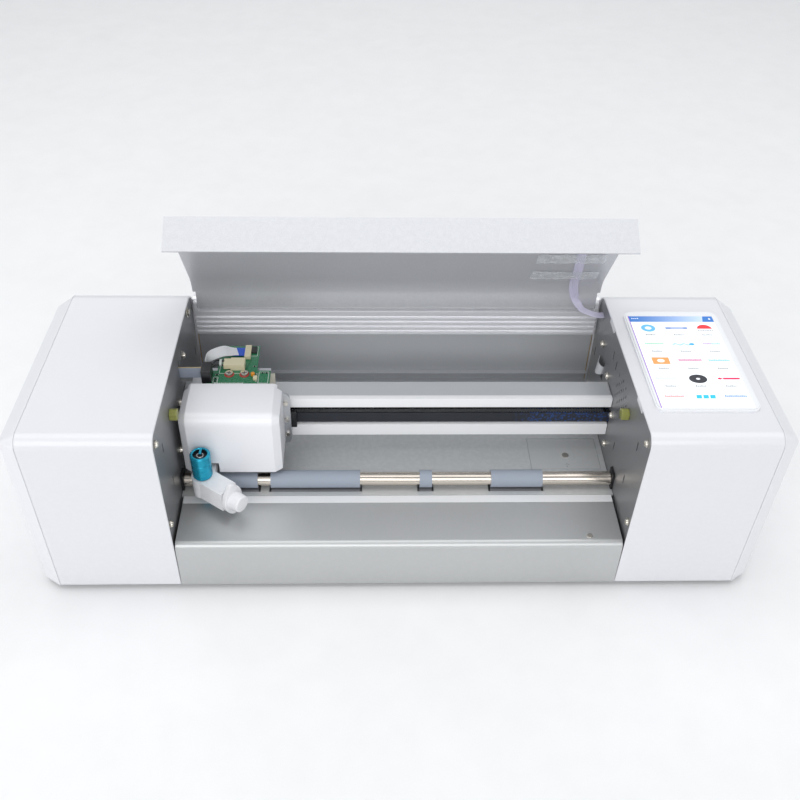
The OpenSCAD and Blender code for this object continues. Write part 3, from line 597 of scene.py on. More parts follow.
def make_piece(name, bm, slot, body=None, materials=None, bevel=0.0, smooth=35.0):
    """Turns a bmesh into a named piece of the object; its slot's finish is the default."""
    bmesh.ops.recalc_face_normals(bm, faces=bm.faces)
    mesh = bpy.data.meshes.new(name)
    bm.to_mesh(mesh)
    bm.free()
    for material in materials or [finish_for(slot)]:
        mesh.materials.append(material)
    mesh.shade_smooth()
    mesh.set_sharp_from_angle(angle=math.radians(smooth))
    obj = bpy.data.objects.new(name, mesh)
    bpy.context.scene.collection.objects.link(obj)
    if bevel > 0:
        round_edges(obj, bevel)
    if body:
        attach(obj, body)
    return obj


def soft_shading():
    """Modifier group that shades a faceted round face smooth and keeps real edges sharp."""
    tree = Studio.groups["Soft shading"] = bpy.data.node_groups.new("Soft shading", "GeometryNodeTree")
    tree.interface.new_socket("Geometry", in_out="INPUT", socket_type="NodeSocketGeometry")
    tree.interface.new_socket("Geometry", in_out="OUTPUT", socket_type="NodeSocketGeometry")
    source = tree.nodes.new("NodeGroupInput")
    sink = tree.nodes.new("NodeGroupOutput")
    clear = tree.nodes.new("GeometryNodeRemoveAttribute")
    clear.inputs["Name"].default_value = "custom_normal"
    smooth = tree.nodes.new("GeometryNodeSetShadeSmooth")
    crease = tree.nodes.new("GeometryNodeSetShadeSmooth")
    crease.domain = "EDGE"
    crease.inputs["Shade Smooth"].default_value = False
    angle = tree.nodes.new("GeometryNodeInputMeshEdgeAngle")
    sharp = tree.nodes.new("FunctionNodeCompare")
    sharp.operation = "GREATER_THAN"
    sharp.inputs[1].default_value = CREASE
    tree.links.new(angle.outputs["Unsigned Angle"], sharp.inputs[0])
    tree.links.new(source.outputs[0], clear.inputs["Geometry"])
    tree.links.new(clear.outputs["Geometry"], smooth.inputs["Geometry"])
    tree.links.new(smooth.outputs[0], crease.inputs["Geometry"])
    tree.links.new(sharp.outputs[0], crease.inputs["Selection"])
    tree.links.new(crease.outputs[0], sink.inputs[0])


def round_edges(obj, radius):
    bevel = obj.modifiers.new("Rounded edges", "BEVEL")
    bevel.width = radius * MM
    bevel.segments = 2
    bevel.limit_method = "ANGLE"
    bevel.angle_limit = CREASE
    bevel.use_clamp_overlap = True
    normals = obj.modifiers.new("Weighted normals", "WEIGHTED_NORMAL")
    normals.keep_sharp = False
    normals.weight = 60


def colour_prop(name, description, default):
    limits = {"size": 3, "min": 0.0, "max": 1.0}
    return FloatVectorProperty(name=name, description=description, default=default, subtype="COLOR", **limits)


def length_prop(name, description, default, **limits):
    description += ", in millimetres"
    return FloatProperty(name=name, description=description, default=default, **limits)


def angle_prop(name, description, degrees):
    angle = math.radians(degrees)
    return FloatProperty(name=name, description=description, default=angle, subtype="ANGLE")


# ---------------------------------------------------------------- settings


class CutterFinishSettings(bpy.types.PropertyGroup):
    edge: length_prop(
        "Edge radius", "Rounding of CAD edges that have no radius of their own", 0.2, min=0.05, max=1.0
    )
    lid_colour: colour_prop("Lid", "Metallic paint of the lid", (0.60, 0.605, 0.63))
    shaft_colour: colour_prop("Shaft", "Polished pinch shaft", (0.66, 0.60, 0.53))
    sleeve_colour: colour_prop("Sleeves", "Rubber sleeves on the pinch shaft", (0.34, 0.38, 0.45))
    clear_colour: colour_prop("Clear tape", "Clear film on the lid", (0.86, 0.88, 0.90))


class CutterBeltSettings(bpy.types.PropertyGroup):
    pitch: length_prop("Tooth pitch", "Distance between teeth", 2.0, min=1.5, max=5.0)
    tooth: length_prop("Tooth depth", "Height of a tooth", 0.7, min=0.3, max=0.9)
    colour: colour_prop("Belt", "Belt rubber", (0.022, 0.025, 0.034))


class CutterRibbonSettings(bpy.types.PropertyGroup):
    lid_width: length_prop("Lid cable width", "Width of the flat cable on the lid", 7.0)
    tail: length_prop("Hidden tail", "Carriage cable hidden in the left housing", 74.0)
    stiffener: colour_prop("Stiffener", "Stiffener at the board's cable end", (0.02, 0.10, 0.62))
    # Colour of the painted tan reflection along the carriage cable's upper edge
    tan_reflection_colour: colour_prop("Cable reflection", "Tan upper edge of the carriage cable", (0.62, 0.50, 0.28))


class CutterScreenSettings(bpy.types.PropertyGroup):
    glow: FloatProperty(name="Glow", description="Emission of the page", default=0.35, min=0.0, max=2.0)
    rows: IntProperty(name="Rows", description="Rows of icons on the page", default=5, min=1, max=6)
    page: colour_prop("Page", "Background of the page", (0.93, 0.96, 0.98))
    bar: colour_prop("Bar", "Status bar at its dark end", (0.02, 0.16, 0.52))


class CutterBoardSettings(bpy.types.PropertyGroup):
    silk: colour_prop("Silk", "Printed lines on the board", (0.80, 0.84, 0.80))
    ring: colour_prop("Ring", "Red washers under the board screws", (0.45, 0.03, 0.03))
    wire_radius: length_prop("Wire radius", "Radius of the two black wires", 0.65)


class CutterTrimSettings(bpy.types.PropertyGroup):
    # Colour of the painted tan reflection at the rear panel's ends
    reflection_tan: colour_prop("Panel reflection", "Bare edge at the rear panel's ends", (0.62, 0.46, 0.24))
    wrinkles: BoolProperty(name="Wrinkled tape", description="Wave the clear tapes on the lid", default=True)


class CutterStageSettings(bpy.types.PropertyGroup):
    lens: length_prop("Lens", "Focal length on a 36 mm sensor", 43.93)
    eye: FloatVectorProperty(name="Camera", default=(-0.02234, -0.53617, 0.56749), subtype="TRANSLATION")
    heading: angle_prop("Heading", "Turn to the right of straight ahead", 2.447)
    tilt: angle_prop("Tilt", "Angle below level", 40.875)
    roll: angle_prop("Roll", "Turn about the view line", 1.572)
    floor_colour: colour_prop("Floor", "Pale floor", (0.90, 0.90, 0.90))


class CutterSettings(bpy.types.PropertyGroup):
    finishes: PointerProperty(type=CutterFinishSettings)
    belt: PointerProperty(type=CutterBeltSettings)
    ribbons: PointerProperty(type=CutterRibbonSettings)
    screen: PointerProperty(type=CutterScreenSettings)
    board: PointerProperty(type=CutterBoardSettings)
    trim: PointerProperty(type=CutterTrimSettings)
    stage: PointerProperty(type=CutterStageSettings)


# ---------------------------------------------------------------- operators


class CUTTER_OT_finishes(bpy.types.Operator):
    """Build every finish and put it on the CAD nodes, with softened edges"""

    bl_idname = "cutter.finishes"
    bl_label = "Frame finishes"

    def execute(self, context):
        settings = context.scene.cutter.finishes
        for build in (grain_group, wear_group, dust_group, flake_group, soft_shading):
            build()
        self.special_finishes(context.scene.cutter, settings)
        for name, obj in NODES.items():
            obj.data.materials.clear()
            obj.data.materials.append(finish_for(NODE_FINISH.get(name, SLOT_OF[name])))
            weld = obj.modifiers.new("Weld", "WELD")
            weld.merge_threshold = 1e-6
            shade = obj.modifiers.new("Soft shading", "NODES")
            shade.node_group = Studio.groups["Soft shading"]
            round_edges(obj, EDGE_RADIUS.get(name, settings.edge))
        return {"FINISHED"}

    def special_finishes(self, cutter, settings):
        low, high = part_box("pinch_roller")
        middle = (low + high) / 2
        core = (high.z - low.z) / 2 - SLEEVE_DEPTH * MM
        shaft, sleeve = tuple(settings.shaft_colour), tuple(settings.sleeve_colour)
        lid_material("lid_metal", tuple(settings.lid_colour))
        belt_material("belt_black", tuple(cutter.belt.colour))
        roller_material("pinch_grey", shaft, sleeve, core, middle)
        clear_material("tape_clear", tuple(settings.clear_colour))
        screen_material("screen", cutter.screen.glow)


class CUTTER_OT_belt(bpy.types.Operator):
    """Make the toothed drive belt round its two pulleys"""

    bl_idname = "cutter.belt"
    bl_label = "Drive belt"

    def execute(self, context):
        settings = context.scene.cutter.belt
        low, high = corners("drive_belt")
        radius = (high.y - low.y) / 2
        centre_y = (high.y + low.y) / 2
        half_span = (high.x - low.x) / 2 - radius
        bore = radius - 1.2
        bm = bmesh.new()
        rings = []
        for x, nx, ny, tooth in self.stations(half_span, bore, settings.pitch):
            inner = bore + (0.0 if tooth else settings.tooth)
            ring = []
            for offset, z in rectangle(inner, low.z, radius, high.z):
                ring.append(bm.verts.new(at(x + nx * offset, centre_y + ny * offset, z)))
            rings.append(ring)
        for a, b in zip(rings, rings[1:] + rings[:1]):
            add_band(bm, a, b)
        belt = make_piece("toothed_belt", bm, "belt_black", "chassis", smooth=20)
        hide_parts("drive_belt")
        return {"FINISHED"}

    def stations(self, half_span, inner, pitch):
        """Points round the loop: centre, outward direction and whether a tooth stands there."""
        straight = round(2 * half_span / (pitch / 4))
        bend = round(math.pi * inner / pitch) * 4
        run = []
        for side in (1, -1):
            for i in range(straight):
                x = side * (2 * half_span * i / straight - half_span)
                run.append((x, 0.0, -side, (i // 2) % 2 == 0))
            for i in range(bend):
                angle = math.pi * i / bend
                out = (side * math.sin(angle), -side * math.cos(angle))
                run.append((side * half_span, *out, (i // 2) % 2 == 0))
        return run


class CUTTER_OT_ribbons(bpy.types.Operator):
    """Make the flat cables: carriage, lid and board"""

    bl_idname = "cutter.ribbons"
    bl_label = "Flat cables"

    def execute(self, context):
        settings = context.scene.cutter.ribbons
        self.carriage_cable(settings)
        self.lid_cable(settings)
        self.board_cable(settings)
        return {"FINISHED"}

    def carriage_cable(self, settings):
        low, high = corners("carriage_ribbon")
        y = (low.y + high.y) / 2
        z = (low.z + high.z) / 2
        width = high.z - low.z - 0.3
        start = low.x - settings.tail
        stops = [start + (high.x - start) * i / 12 for i in range(13)]
        # The carriage cable's blue-grey finish is painted shade on a white cable
        grey = finish_for("ribbon_grey")
        tan = plain_finish("cable_edge", tuple(settings.tan_reflection_colour), 0.45)
        # The second strip is a painted reflection: a thin tan line along the cable's upper edge
        for name, shift, size, thick, material in (
            ("carriage_cable", -0.15, width, 0.35, grey),
            ("carriage_cable_reflection", width / 2, 0.5, 0.5, tan),
        ):
            bm = bmesh.new()
            points = [at(x, y, z + shift) for x in stops]
            add_ribbon(bm, points, [size] * 13, [Z_AXIS] * 13, thick, per_span=2, lanes=4)
            piece = make_piece(name, bm, "ribbon_grey", materials=[material])
            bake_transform(piece)
            if material is grey:
                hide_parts("carriage_ribbon")

    def lid_cable(self, settings):
        """Flat cable out of the right side plate, round the hinge and up the lid."""
        low, high = corners("ribbon_lead")
        slot = Vector((high.x, (high.y + low.y) / 2, high.z))
        bends = ((0, 0, 0), (-7, 0, 0.2), (-13.5, 2.0, 1.4), (-18.6, 4.0, 3.4))
        lead = [ORIGIN + (slot + Vector(b)) * MM for b in bends]
        rise = [(-22.6, 8.4), (-25.4, 15.8), (-27.2, 26.8), (-28.2, 42.8), (-30.6, 62.8), (-31.4, 88.0)]
        points = lead + [self.on_lid(slot.x + x, slot.z + z) for x, z in rise]
        across = [-Y_AXIS] * 2 + [-Y_AXIS - X_AXIS * 0.2, -Y_AXIS * 0.8 - X_AXIS * 0.6]
        across += [-X_AXIS - Y_AXIS * 0.4] + [-X_AXIS] * 5
        bm = bmesh.new()
        add_ribbon(bm, points, [settings.lid_width] * 10, across, 0.9, lanes=24, strands=6)
        piece = make_piece("lid_cable", bm, "ribbon_lilac", smooth=60)
        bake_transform(piece)
        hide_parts("lid_ribbon", "ribbon_lead")

    def on_lid(self, x, z):
        """Point 0.8 mm in front of the lid's inner face at a machine X and height."""
        hit, place, normal, _ = NODES["lid_panel"].ray_cast(at(x, -40.0, z), Y_AXIS)
        if not hit:
            raise RuntimeError("no lid at this height")
        return place + normal * 0.8 * MM

    def board_cable(self, settings):
        low, high = corners("board_ribbon")
        clamp_low, clamp_high = corners("cable_clamp")
        y = high.y - 4.5
        z = (low.z + high.z) / 2
        start = Vector((clamp_low.x + 2.2, clamp_high.y - 2, clamp_high.z - 5))
        route = [
            start,
            start + Vector((-0.6, 5.5, 1.0)),
            start + Vector((1.6, 12.5, 1.6)),
            Vector((high.x - 15.5, y - 4.5, z + 4.6)),
            Vector((high.x - 9, y - 0.4, z + 1.2)),
            Vector((high.x + 0.1, y, z)),
        ]
        points = [at(*p) for p in route]
        across = [Z_AXIS, Z_AXIS, Z_AXIS * 0.8 + Y_AXIS * 0.6, Y_AXIS + Z_AXIS * 0.5, Y_AXIS, Y_AXIS]
        bm = bmesh.new()
        add_ribbon(bm, points, [7, 7, 7.5, 8, 9, 9], across, 0.3)
        piece = make_piece("board_cable", bm, "ribbon_white", "carriage")
        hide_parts("board_ribbon")
        bm = bmesh.new()
        add_box(bm, (high.x - 9, y - 4.7, z + 0.2), (high.x + 0.2, y + 4.7, z + 0.7))
        blue = plain_finish("stiffener_blue", tuple(settings.stiffener), 0.4)
        make_piece("cable_stiffener", bm, "ribbon_white", "carriage", [blue], bevel=0.1)


# Height of the page's status bar in millimetres
BAR_HEIGHT = 7.2
# Heights of the dots of the wave icon
WAVE = [0.9 * math.sin(i * 1.2) for i in range(12)]
# Rows of three icons. A mark is a kind, four numbers from the icon's centre, a colour and a level.
# Box: left, low, right, high. Disc and dome: centre, two radii. Dashes: start, length, height.
ICONS = (
    (
        (
            ("disc", (0, 0.4, 5.2, 4.6), (0.13, 0.46, 0.80)),
            ("disc", (0, 0.4, 2.4, 2.0), (0.80, 0.90, 0.97), 0.06),
        ),
        (
            ("box", (-8, -0.9, 8, 1.6), (0.20, 0.30, 0.58)),
            ("box", (-4, 0, 5, 0.8), (0.62, 0.68, 0.84), 0.06),
        ),
        (
            ("dome", (0, -0.4, 5.4, 5.2), (0.72, 0.02, 0.03)),
            ("dashes", (-5.5, -2.8, 11.5, 1.0), (0.03, 0.03, 0.04)),
        ),
    ),
    (
        (("dashes", (-6.5, 0, 13.5, 1.6), (0.08, 0.52, 0.26)),),
        (
            *(("disc", (i * 1.15 - 7, y, 0.85, 0.5), (0.16, 0.48, 0.70)) for i, y in enumerate(WAVE)),
            ("disc", (6.2, 0.3, 1.9, 1.4), (0.05, 0.40, 0.66), 0.05),
        ),
        (
            ("dashes", (-6, 0, 6, 1.4), (0.30, 0.06, 0.45)),
            ("dashes", (0, 0, 6.5, 1.4), (0.02, 0.45, 0.62)),
        ),
    ),
    (
        (
            ("box", (-6, -3.4, 6, 4.4), (0.95, 0.33, 0.10)),
            ("disc", (0, 0.5, 2.6, 2.0), (0.98, 0.90, 0.84), 0.06),
        ),
        (("dashes", (-8, 0, 16.5, 2.2), (0.50, 0.01, 0.20)),),
        (("dashes", (-7.5, 0, 15, 1.8), (0.02, 0.45, 0.58)),),
    ),
    (
        (("dashes", (-8, 0, 15, 1.2), (0.30, 0.30, 0.32)),),
        (
            ("disc", (0, -0.2, 6.2, 4.8), (0.02, 0.02, 0.03)),
            ("disc", (0, -0.2, 1.4, 1.1), (0.80, 0.82, 0.86), 0.06),
        ),
        (
            ("box", (-3.5, -0.9, 8, 1.1), (0.72, 0.02, 0.10)),
            ("disc", (-5.6, 0.1, 1.5, 1.1), (0.72, 0.02, 0.10)),
        ),
    ),
    (
        (("dashes", (-6.5, 0, 13, 1.5), (0.62, 0.03, 0.05)),),
        tuple(("leaning box", (x, -1.6, x + 3.6, 2.2), (0.02, 0.50, 0.76)) for x in (-6.5, -1.9, 2.7)),
        (("dashes", (-7.5, 0, 15, 1.7), (0.02, 0.17, 0.48)),),
    ),
)


class CUTTER_OT_screen(bpy.types.Operator):
    """Make the lit page with its bar, icons and captions"""

    bl_idname = "cutter.screen"
    bl_label = "Screen page"

    def execute(self, context):
        settings = context.scene.cutter.screen
        self.find_page()
        self.bm = bmesh.new()
        self.ink = self.bm.loops.layers.float_color.new("ink")
        page = tuple(settings.page)
        bar = tuple(settings.bar)
        w, h = self.width, self.height
        self.shape(rectangle(0, 0, w, h), page, 0.0, base=-0.8)
        top = h - BAR_HEIGHT
        self.bar(top, h, bar)
        self.shape([(w - 8.5, top), (w, top), (w, h), (w - 7, h)], bar, 0.03)
        self.disc(w - 2.6, h - 3.4, 0.8, 0.8, (0.9, 0.95, 1.0), 0.05)
        self.shape(rectangle(0, 0, 0.55, h), (0.22, 0.03, 0.50), 0.03)
        self.icons(settings.rows)
        piece = make_piece("screen_page", self.bm, "screen", "chassis", smooth=20)
        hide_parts("display_panel")
        return {"FINISHED"}

    def find_page(self):
        """Origin, directions and size of the panel's upper face, in the row frame."""
        mesh = NODES["display_panel"].data
        lift = max(p.normal.z for p in mesh.polygons)
        keys = {i for p in mesh.polygons if p.normal.z > lift - 0.01 for i in p.vertices}
        points = [mesh.vertices[i].co.copy() for i in keys]
        front, back = min(p.y for p in points), max(p.y for p in points)
        left, right = min(p.x for p in points), max(p.x for p in points)
        self.corner = Vector((left, front, next(p.z for p in points if p.y < front + 1e-5)))
        far = Vector((left, back, next(p.z for p in points if p.y > back - 1e-5)))
        self.across = X_AXIS
        self.along = (far - self.corner).normalized()
        self.normal = self.across.cross(self.along).normalized()
        self.width = (right - left) / MM
        self.height = (far - self.corner).length / MM

    def place(self, u, v, lift):
        return self.corner + (self.across * u + self.along * v + self.normal * lift) * MM

    def shape(self, outline, colour, level, base=None, shades=None):
        """Thin solid on the page; shades gives each outline point its own colour."""
        bottom = level if base is None else base
        points = [self.place(u, v, bottom) for u, v in outline]
        faces = add_prism(self.bm, points, self.normal * (level + 0.02 - bottom) * MM)
        for face in faces:
            for loop in face.loops:
                if shades:
                    colour = min(zip(points, shades), key=lambda pair: (loop.vert.co - pair[0]).length)[1]
                loop[self.ink] = (*colour, 1)

    def bar(self, low, high, dark):
        """Status bar that fades from dark at the left to pale at the right."""
        pale = (0.62, 0.74, 0.90)
        w = self.width
        for i in range(12):
            a, b = i / 12, (i + 1) / 12
            near, far = ([mix(d, p, t**1.4) for d, p in zip(dark, pale)] for t in (a, b))
            self.shape(rectangle(w * a, low, w * b, high), None, 0.02, shades=[near, far, far, near])
        self.dashes(2.2, (low + high) / 2 + 0.2, 5.5, (0.8, 0.88, 1.0), 0.9)

    def disc(self, u, v, rx, ry, colour, level, half=False):
        """Ellipse on the page, or its upper half."""
        span = 180 if half else 360
        steps = [math.radians(span * i / 28) for i in range(29 if half else 28)]
        self.shape([(u + rx * math.cos(a), v + ry * math.sin(a)) for a in steps], colour, level)

    def dashes(self, u, v, length, colour, height=0.8):
        """Row of short marks that stands for a caption."""
        count = max(2, round(length / 1.3))
        for i in range(count):
            a = u + i * length / count
            tall = height * (1.0 if i % 3 else 1.25)
            self.shape(rectangle(a, v, a + 0.75, v + tall), colour, 0.04)

    def icons(self, rows):
        """Rows of three plain icons, each over a caption except in the last row."""
        w, top = self.width, self.height - BAR_HEIGHT
        columns = [w * 0.19, w * 0.52, w * 0.85]
        step = top / 5.0
        for row, drawn in enumerate(ICONS[:rows]):
            v = top - step * (row + 0.42)
            for u, marks in zip(columns, drawn):
                for mark in marks:
                    self.mark(u, v, *mark)
                if row < 4:
                    self.dashes(u - 3.6, v - step * 0.44, 7.5, (0.015, 0.015, 0.02), 1.1)

    def mark(self, u, v, kind, numbers, colour, level=0.04):
        """One mark of an icon whose centre is at u, v."""
        a, b, c, d = numbers
        if kind == "dashes":
            self.dashes(u + a, v + b, c, colour, d)
        elif kind in ("disc", "dome"):
            self.disc(u + a, v + b, c, d, colour, level, kind == "dome")
        else:
            lean = 0.6 if kind == "leaning box" else 0.0
            outline = [(u + a, v + b), (u + c, v + b), (u + c + lean, v + d), (u + a + lean, v + d)]
            self.shape(outline, colour, level)


class CUTTER_OT_board(bpy.types.Operator):
    """Make the small parts on the carriage's board: print, washers, wires and chips"""

    bl_idname = "cutter.board"
    bl_label = "Board details"

    def execute(self, context):
        settings = context.scene.cutter.board
        low, high = corners("carriage_board")
        self.top = high.z
        self.x = high.x - 25.5
        self.y = low.y
        self.screws = [(self.x + x, self.y + 11.5) for x in (-4.4, 6.6)]
        self.print_lines(settings)
        self.small_parts(settings)
        self.wires(settings)
        return {"FINISHED"}

    def box(self, bm, x0, x1, y0, y1, rise, index=0):
        """Box on the board, placed from a point left of the screws."""
        low = (self.x + x0, self.y + y0, self.top)
        high = (self.x + x1, self.y + y1, self.top + rise)
        add_box(bm, low, high, index)

    def print_lines(self, settings):
        bm = bmesh.new()
        line = 0.35
        frames = ((17, 24.4, 1.4, 14.6), (-15.6, -12, 2, 8.6), (6, 14.4, 33, 44.6), (-12, 4, 12.5, 26))
        for x0, x1, y0, y1 in frames:
            self.box(bm, x0, x1, y0, y0 + line, 0.04)
            self.box(bm, x0, x1, y1 - line, y1, 0.04)
            self.box(bm, x0, x0 + line, y0, y1, 0.04)
            self.box(bm, x1 - line, x1, y0, y1, 0.04)
        for i in range(14):
            self.box(bm, -14 + i * 1.5, -13.1 + i * 1.5, 1.1, 1.8 + 0.3 * (i % 2), 0.04)
        silk = plain_finish("silk_white", tuple(settings.silk), 0.5)
        make_piece("board_print", bm, "board_green", "carriage", [silk])

    def small_parts(self, settings):
        bm = bmesh.new()
        chips = ((-14.6, 3.2, 1.6), (-14.6, 6.0, 1.6), (-14, 10.4, 1.8), (19, 12.5, 1.4), (22, 12.5, 1.4))
        for x, y, size in (*chips, (12.6, 20, 1.4)):
            self.box(bm, x, x + size, y, y + 0.9, 0.6)
            self.box(bm, x - 0.35, x, y, y + 0.9, 0.62, 1)
            self.box(bm, x + size, x + size + 0.35, y, y + 0.9, 0.62, 1)
        for y in (3, 5, 7, 9, 11):
            self.box(bm, 15, 16.2, y, y + 0.9, 0.5, 1)
        self.box(bm, 8, 13.5, 36, 43, 1.3)
        dark = plain_finish("chip_black", (0.02, 0.02, 0.022), 0.45)
        tinned = plain_finish("tinned_metal", (0.72, 0.72, 0.70), 0.3, 1.0)
        make_piece("board_chips", bm, "board_green", "carriage", [dark, tinned], bevel=0.06)
        bm = bmesh.new()
        centre = at(self.x + 12.9, self.y + 10.2, self.top)
        add_rod(bm, centre, centre + Z_AXIS * 2.6 * MM, 1.5)
        amber = plain_finish("capacitor_amber", (0.80, 0.30, 0.02), 0.3, 0.0, 0.3)
        make_piece("board_capacitor", bm, "board_green", "carriage", [amber], bevel=0.4)
        self.washers(settings)

    def washers(self, settings):
        """Red ring under each board screw, and painted shade in the shape of each screw's cross recess."""
        bm = bmesh.new()
        head = max(v.co.z for v in NODES["carriage_screws"].data.vertices) / MM - ORIGIN.z / MM
        for x, y in self.screws:
            outline = [(0, 2.75), (0, 3.6), (0.3, 3.6), (0.3, 2.75)]
            add_lathe(bm, at(x, y, self.top), Z_AXIS, outline, count=28, ring=True)
        red = plain_finish("washer_red", tuple(settings.ring), 0.4)
        make_piece("screw_washers", bm, "board_green", "carriage", [red])
        # Dark cross laid on each screw head: painted shade of its cross recess
        bm = bmesh.new()
        for x, y in self.screws:
            add_box(bm, (x - 1.6, y - 0.25, head), (x + 1.6, y + 0.25, head + 0.06))
            add_box(bm, (x - 0.25, y - 1.6, head + 0.06), (x + 0.25, y + 1.6, head + 0.1))
        dark = plain_finish("chip_black", (0.02, 0.02, 0.022), 0.45)
        make_piece("screw_recess_shade", bm, "screw_steel", "carriage", [dark])

    def wires(self, settings):
        """Two black wires from the plug to the clamp, held by a clear tie."""
        low = corners("board_connectors")[0]
        clamp = corners("cable_clamp")[1]
        black = plain_finish("wire_black", (0.012, 0.012, 0.013), 0.35, 0.0, 0.2)
        bm = bmesh.new()
        for k, lift in enumerate((0.0, 1.5)):
            y = low.y + 13.5 + 3.2 * k
            route = [
                Vector((low.x + 4.0, y, self.top + 3.0)),
                Vector((low.x - 2.0, y, self.top + 3.6 + lift)),
                Vector((low.x - 5.5, y - 2.0, self.top + 5.0 + lift)),
                Vector((clamp.x - 2, clamp.y - 3, self.top + 5.0 + lift)),
            ]
            add_wire(bm, [at(*p) for p in route], settings.wire_radius)
        make_piece("board_wires", bm, "clamp_black", "carriage", [black])
        bm = bmesh.new()
        centre = Vector((low.x - 2.0, low.y + 15.2, self.top + 4.4))
        turns = [math.pi * i / 9 for i in range(18)]
        ring = [centre + Vector((0, 2.9 * math.cos(a), 2.0 * math.sin(a))) for a in turns]
        add_ribbon(bm, [at(*p) for p in ring], [1.6] * 18, [X_AXIS] * 18, 0.5, per_span=2, lanes=2)
        tie = plain_finish("tie_clear", (0.62, 0.68, 0.64), 0.3, 0.0, 0.3)
        make_piece("cable_tie", bm, "ribbon_white", "carriage", [tie])


class CUTTER_OT_knife(bpy.types.Operator):
    """Make the turned knife body, its setting cap and the clamp knob with its wings"""

    bl_idname = "cutter.knife"
    bl_label = "Knife and knob"

    def execute(self, context):
        self.body()
        self.cap()
        self.knob()
        return {"FINISHED"}

    def body(self):
        """Anodised body with fine grooves under the head."""
        low, high = corners("knife_holder")
        centre = at((low.x + high.x) / 2, (low.y + high.y) / 2, 0)
        head = (high.x - low.x) / 2
        top = high.z
        seat = top - 13
        profile = [(low.z, 1.2), (low.z, 2.1), (low.z + 3.6, 4.2), (seat - 8.5, 4.2), (seat - 8.5, 6.1)]
        profile += [(seat, 6.1), (seat, head - 0.5), (seat + 0.5, head)]
        for z in (seat + 2.0, seat + 8.0):
            profile += [(z, head), (z + 0.25, head - 0.35), (z + 0.65, head - 0.35), (z + 0.9, head)]
        profile += [(top - 0.5, head), (top, head - 0.5), (top, 3.0)]
        bm = bmesh.new()
        add_lathe(bm, centre, Z_AXIS, profile, count=72)
        piece = make_piece("knife_body", bm, "knife_teal", "knife", smooth=28)
        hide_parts("knife_holder")

    def cap(self):
        """Setting cap with a dark recess, a bright collar and a pin."""
        low, high = corners("depth_cap")
        x, y = (low.x + high.x) / 2, (low.y + high.y) / 2
        centre = at(x, y, 0)
        r = (high.x - low.x) / 2
        top = high.z
        rim = [(low.z, r - 1.0), (low.z, r - 0.4), (low.z + 0.4, r), (top - 1.0, r), (top, r - 1.0)]
        rim += [(top, 5.4), (top - 0.5, 5.0), (top - 3.4, 4.9), (top - 3.4, 0.01)]
        bands = [0, 0, 0, 0, 0, 0, 1, 1]
        dark = plain_finish("recess_dark", (0.01, 0.016, 0.022), 0.5)
        bm = bmesh.new()
        add_lathe(bm, centre, Z_AXIS, rim, count=72, bands=bands)
        finishes = [finish_for("knife_teal"), dark]
        piece = make_piece("knife_cap", bm, "knife_teal", "depth_cap", finishes, smooth=28)
        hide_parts("depth_cap")
        bm = bmesh.new()
        collar = [(-3.3, 1.7), (-3.3, 2.6), (-1.7, 2.6), (-1.5, 2.4), (-1.5, 1.9), (-1.7, 1.7)]
        add_lathe(bm, centre, Z_AXIS, [(top + z, radius) for z, radius in collar], count=48, ring=True)
        make_piece("cap_collar", bm, "knife_teal", "depth_cap", [finish_for("bearing_steel")], smooth=28)
        bm = bmesh.new()
        add_box(bm, (x - 0.9, y + 0.2, top - 1.4), (x + 0.9, y + 5.3, top - 0.1))
        make_piece("cap_pin", bm, "knife_teal", "depth_cap", bevel=0.25)

    def knob(self):
        """Round knob on an oval wing, on the axis of the clamp screw."""
        points = [v.co for v in NODES["clamp_knob"].data.vertices]
        joint = next(j for j in frame["record"]["behaviour"]["joints"] if j["name"] == "knob_turn")
        axis = Vector(joint["axis"]).normalized()
        base = Vector(joint["pos_m"])
        reaches = [(p - base).dot(axis) / MM for p in points]
        start, reach = min(reaches), max(reaches)
        root = reach - 11.9
        profile = [(start, 2.4), (root, 2.4), (root, 6.6), (reach - 0.6, 6.3), (reach, 5.7), (reach, 0.01)]
        bm = bmesh.new()
        add_lathe(bm, base, axis, profile, count=64)
        side = Z_AXIS
        other = axis.cross(side).normalized()
        turns = [2 * math.pi * i / 64 for i in range(64)]
        oval = [(13.8 * math.cos(a), 8.6 * math.sin(a) * (1 - 0.30 * abs(math.cos(a)) ** 2)) for a in turns]
        outline = [base + axis * (root + 0.2) * MM + (side * u + other * v) * MM for u, v in oval]
        add_prism(bm, outline, axis * 3.4 * MM)
        piece = make_piece("knob", bm, "knob_white", "clamp_knob", bevel=0.45)
        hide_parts("clamp_knob")


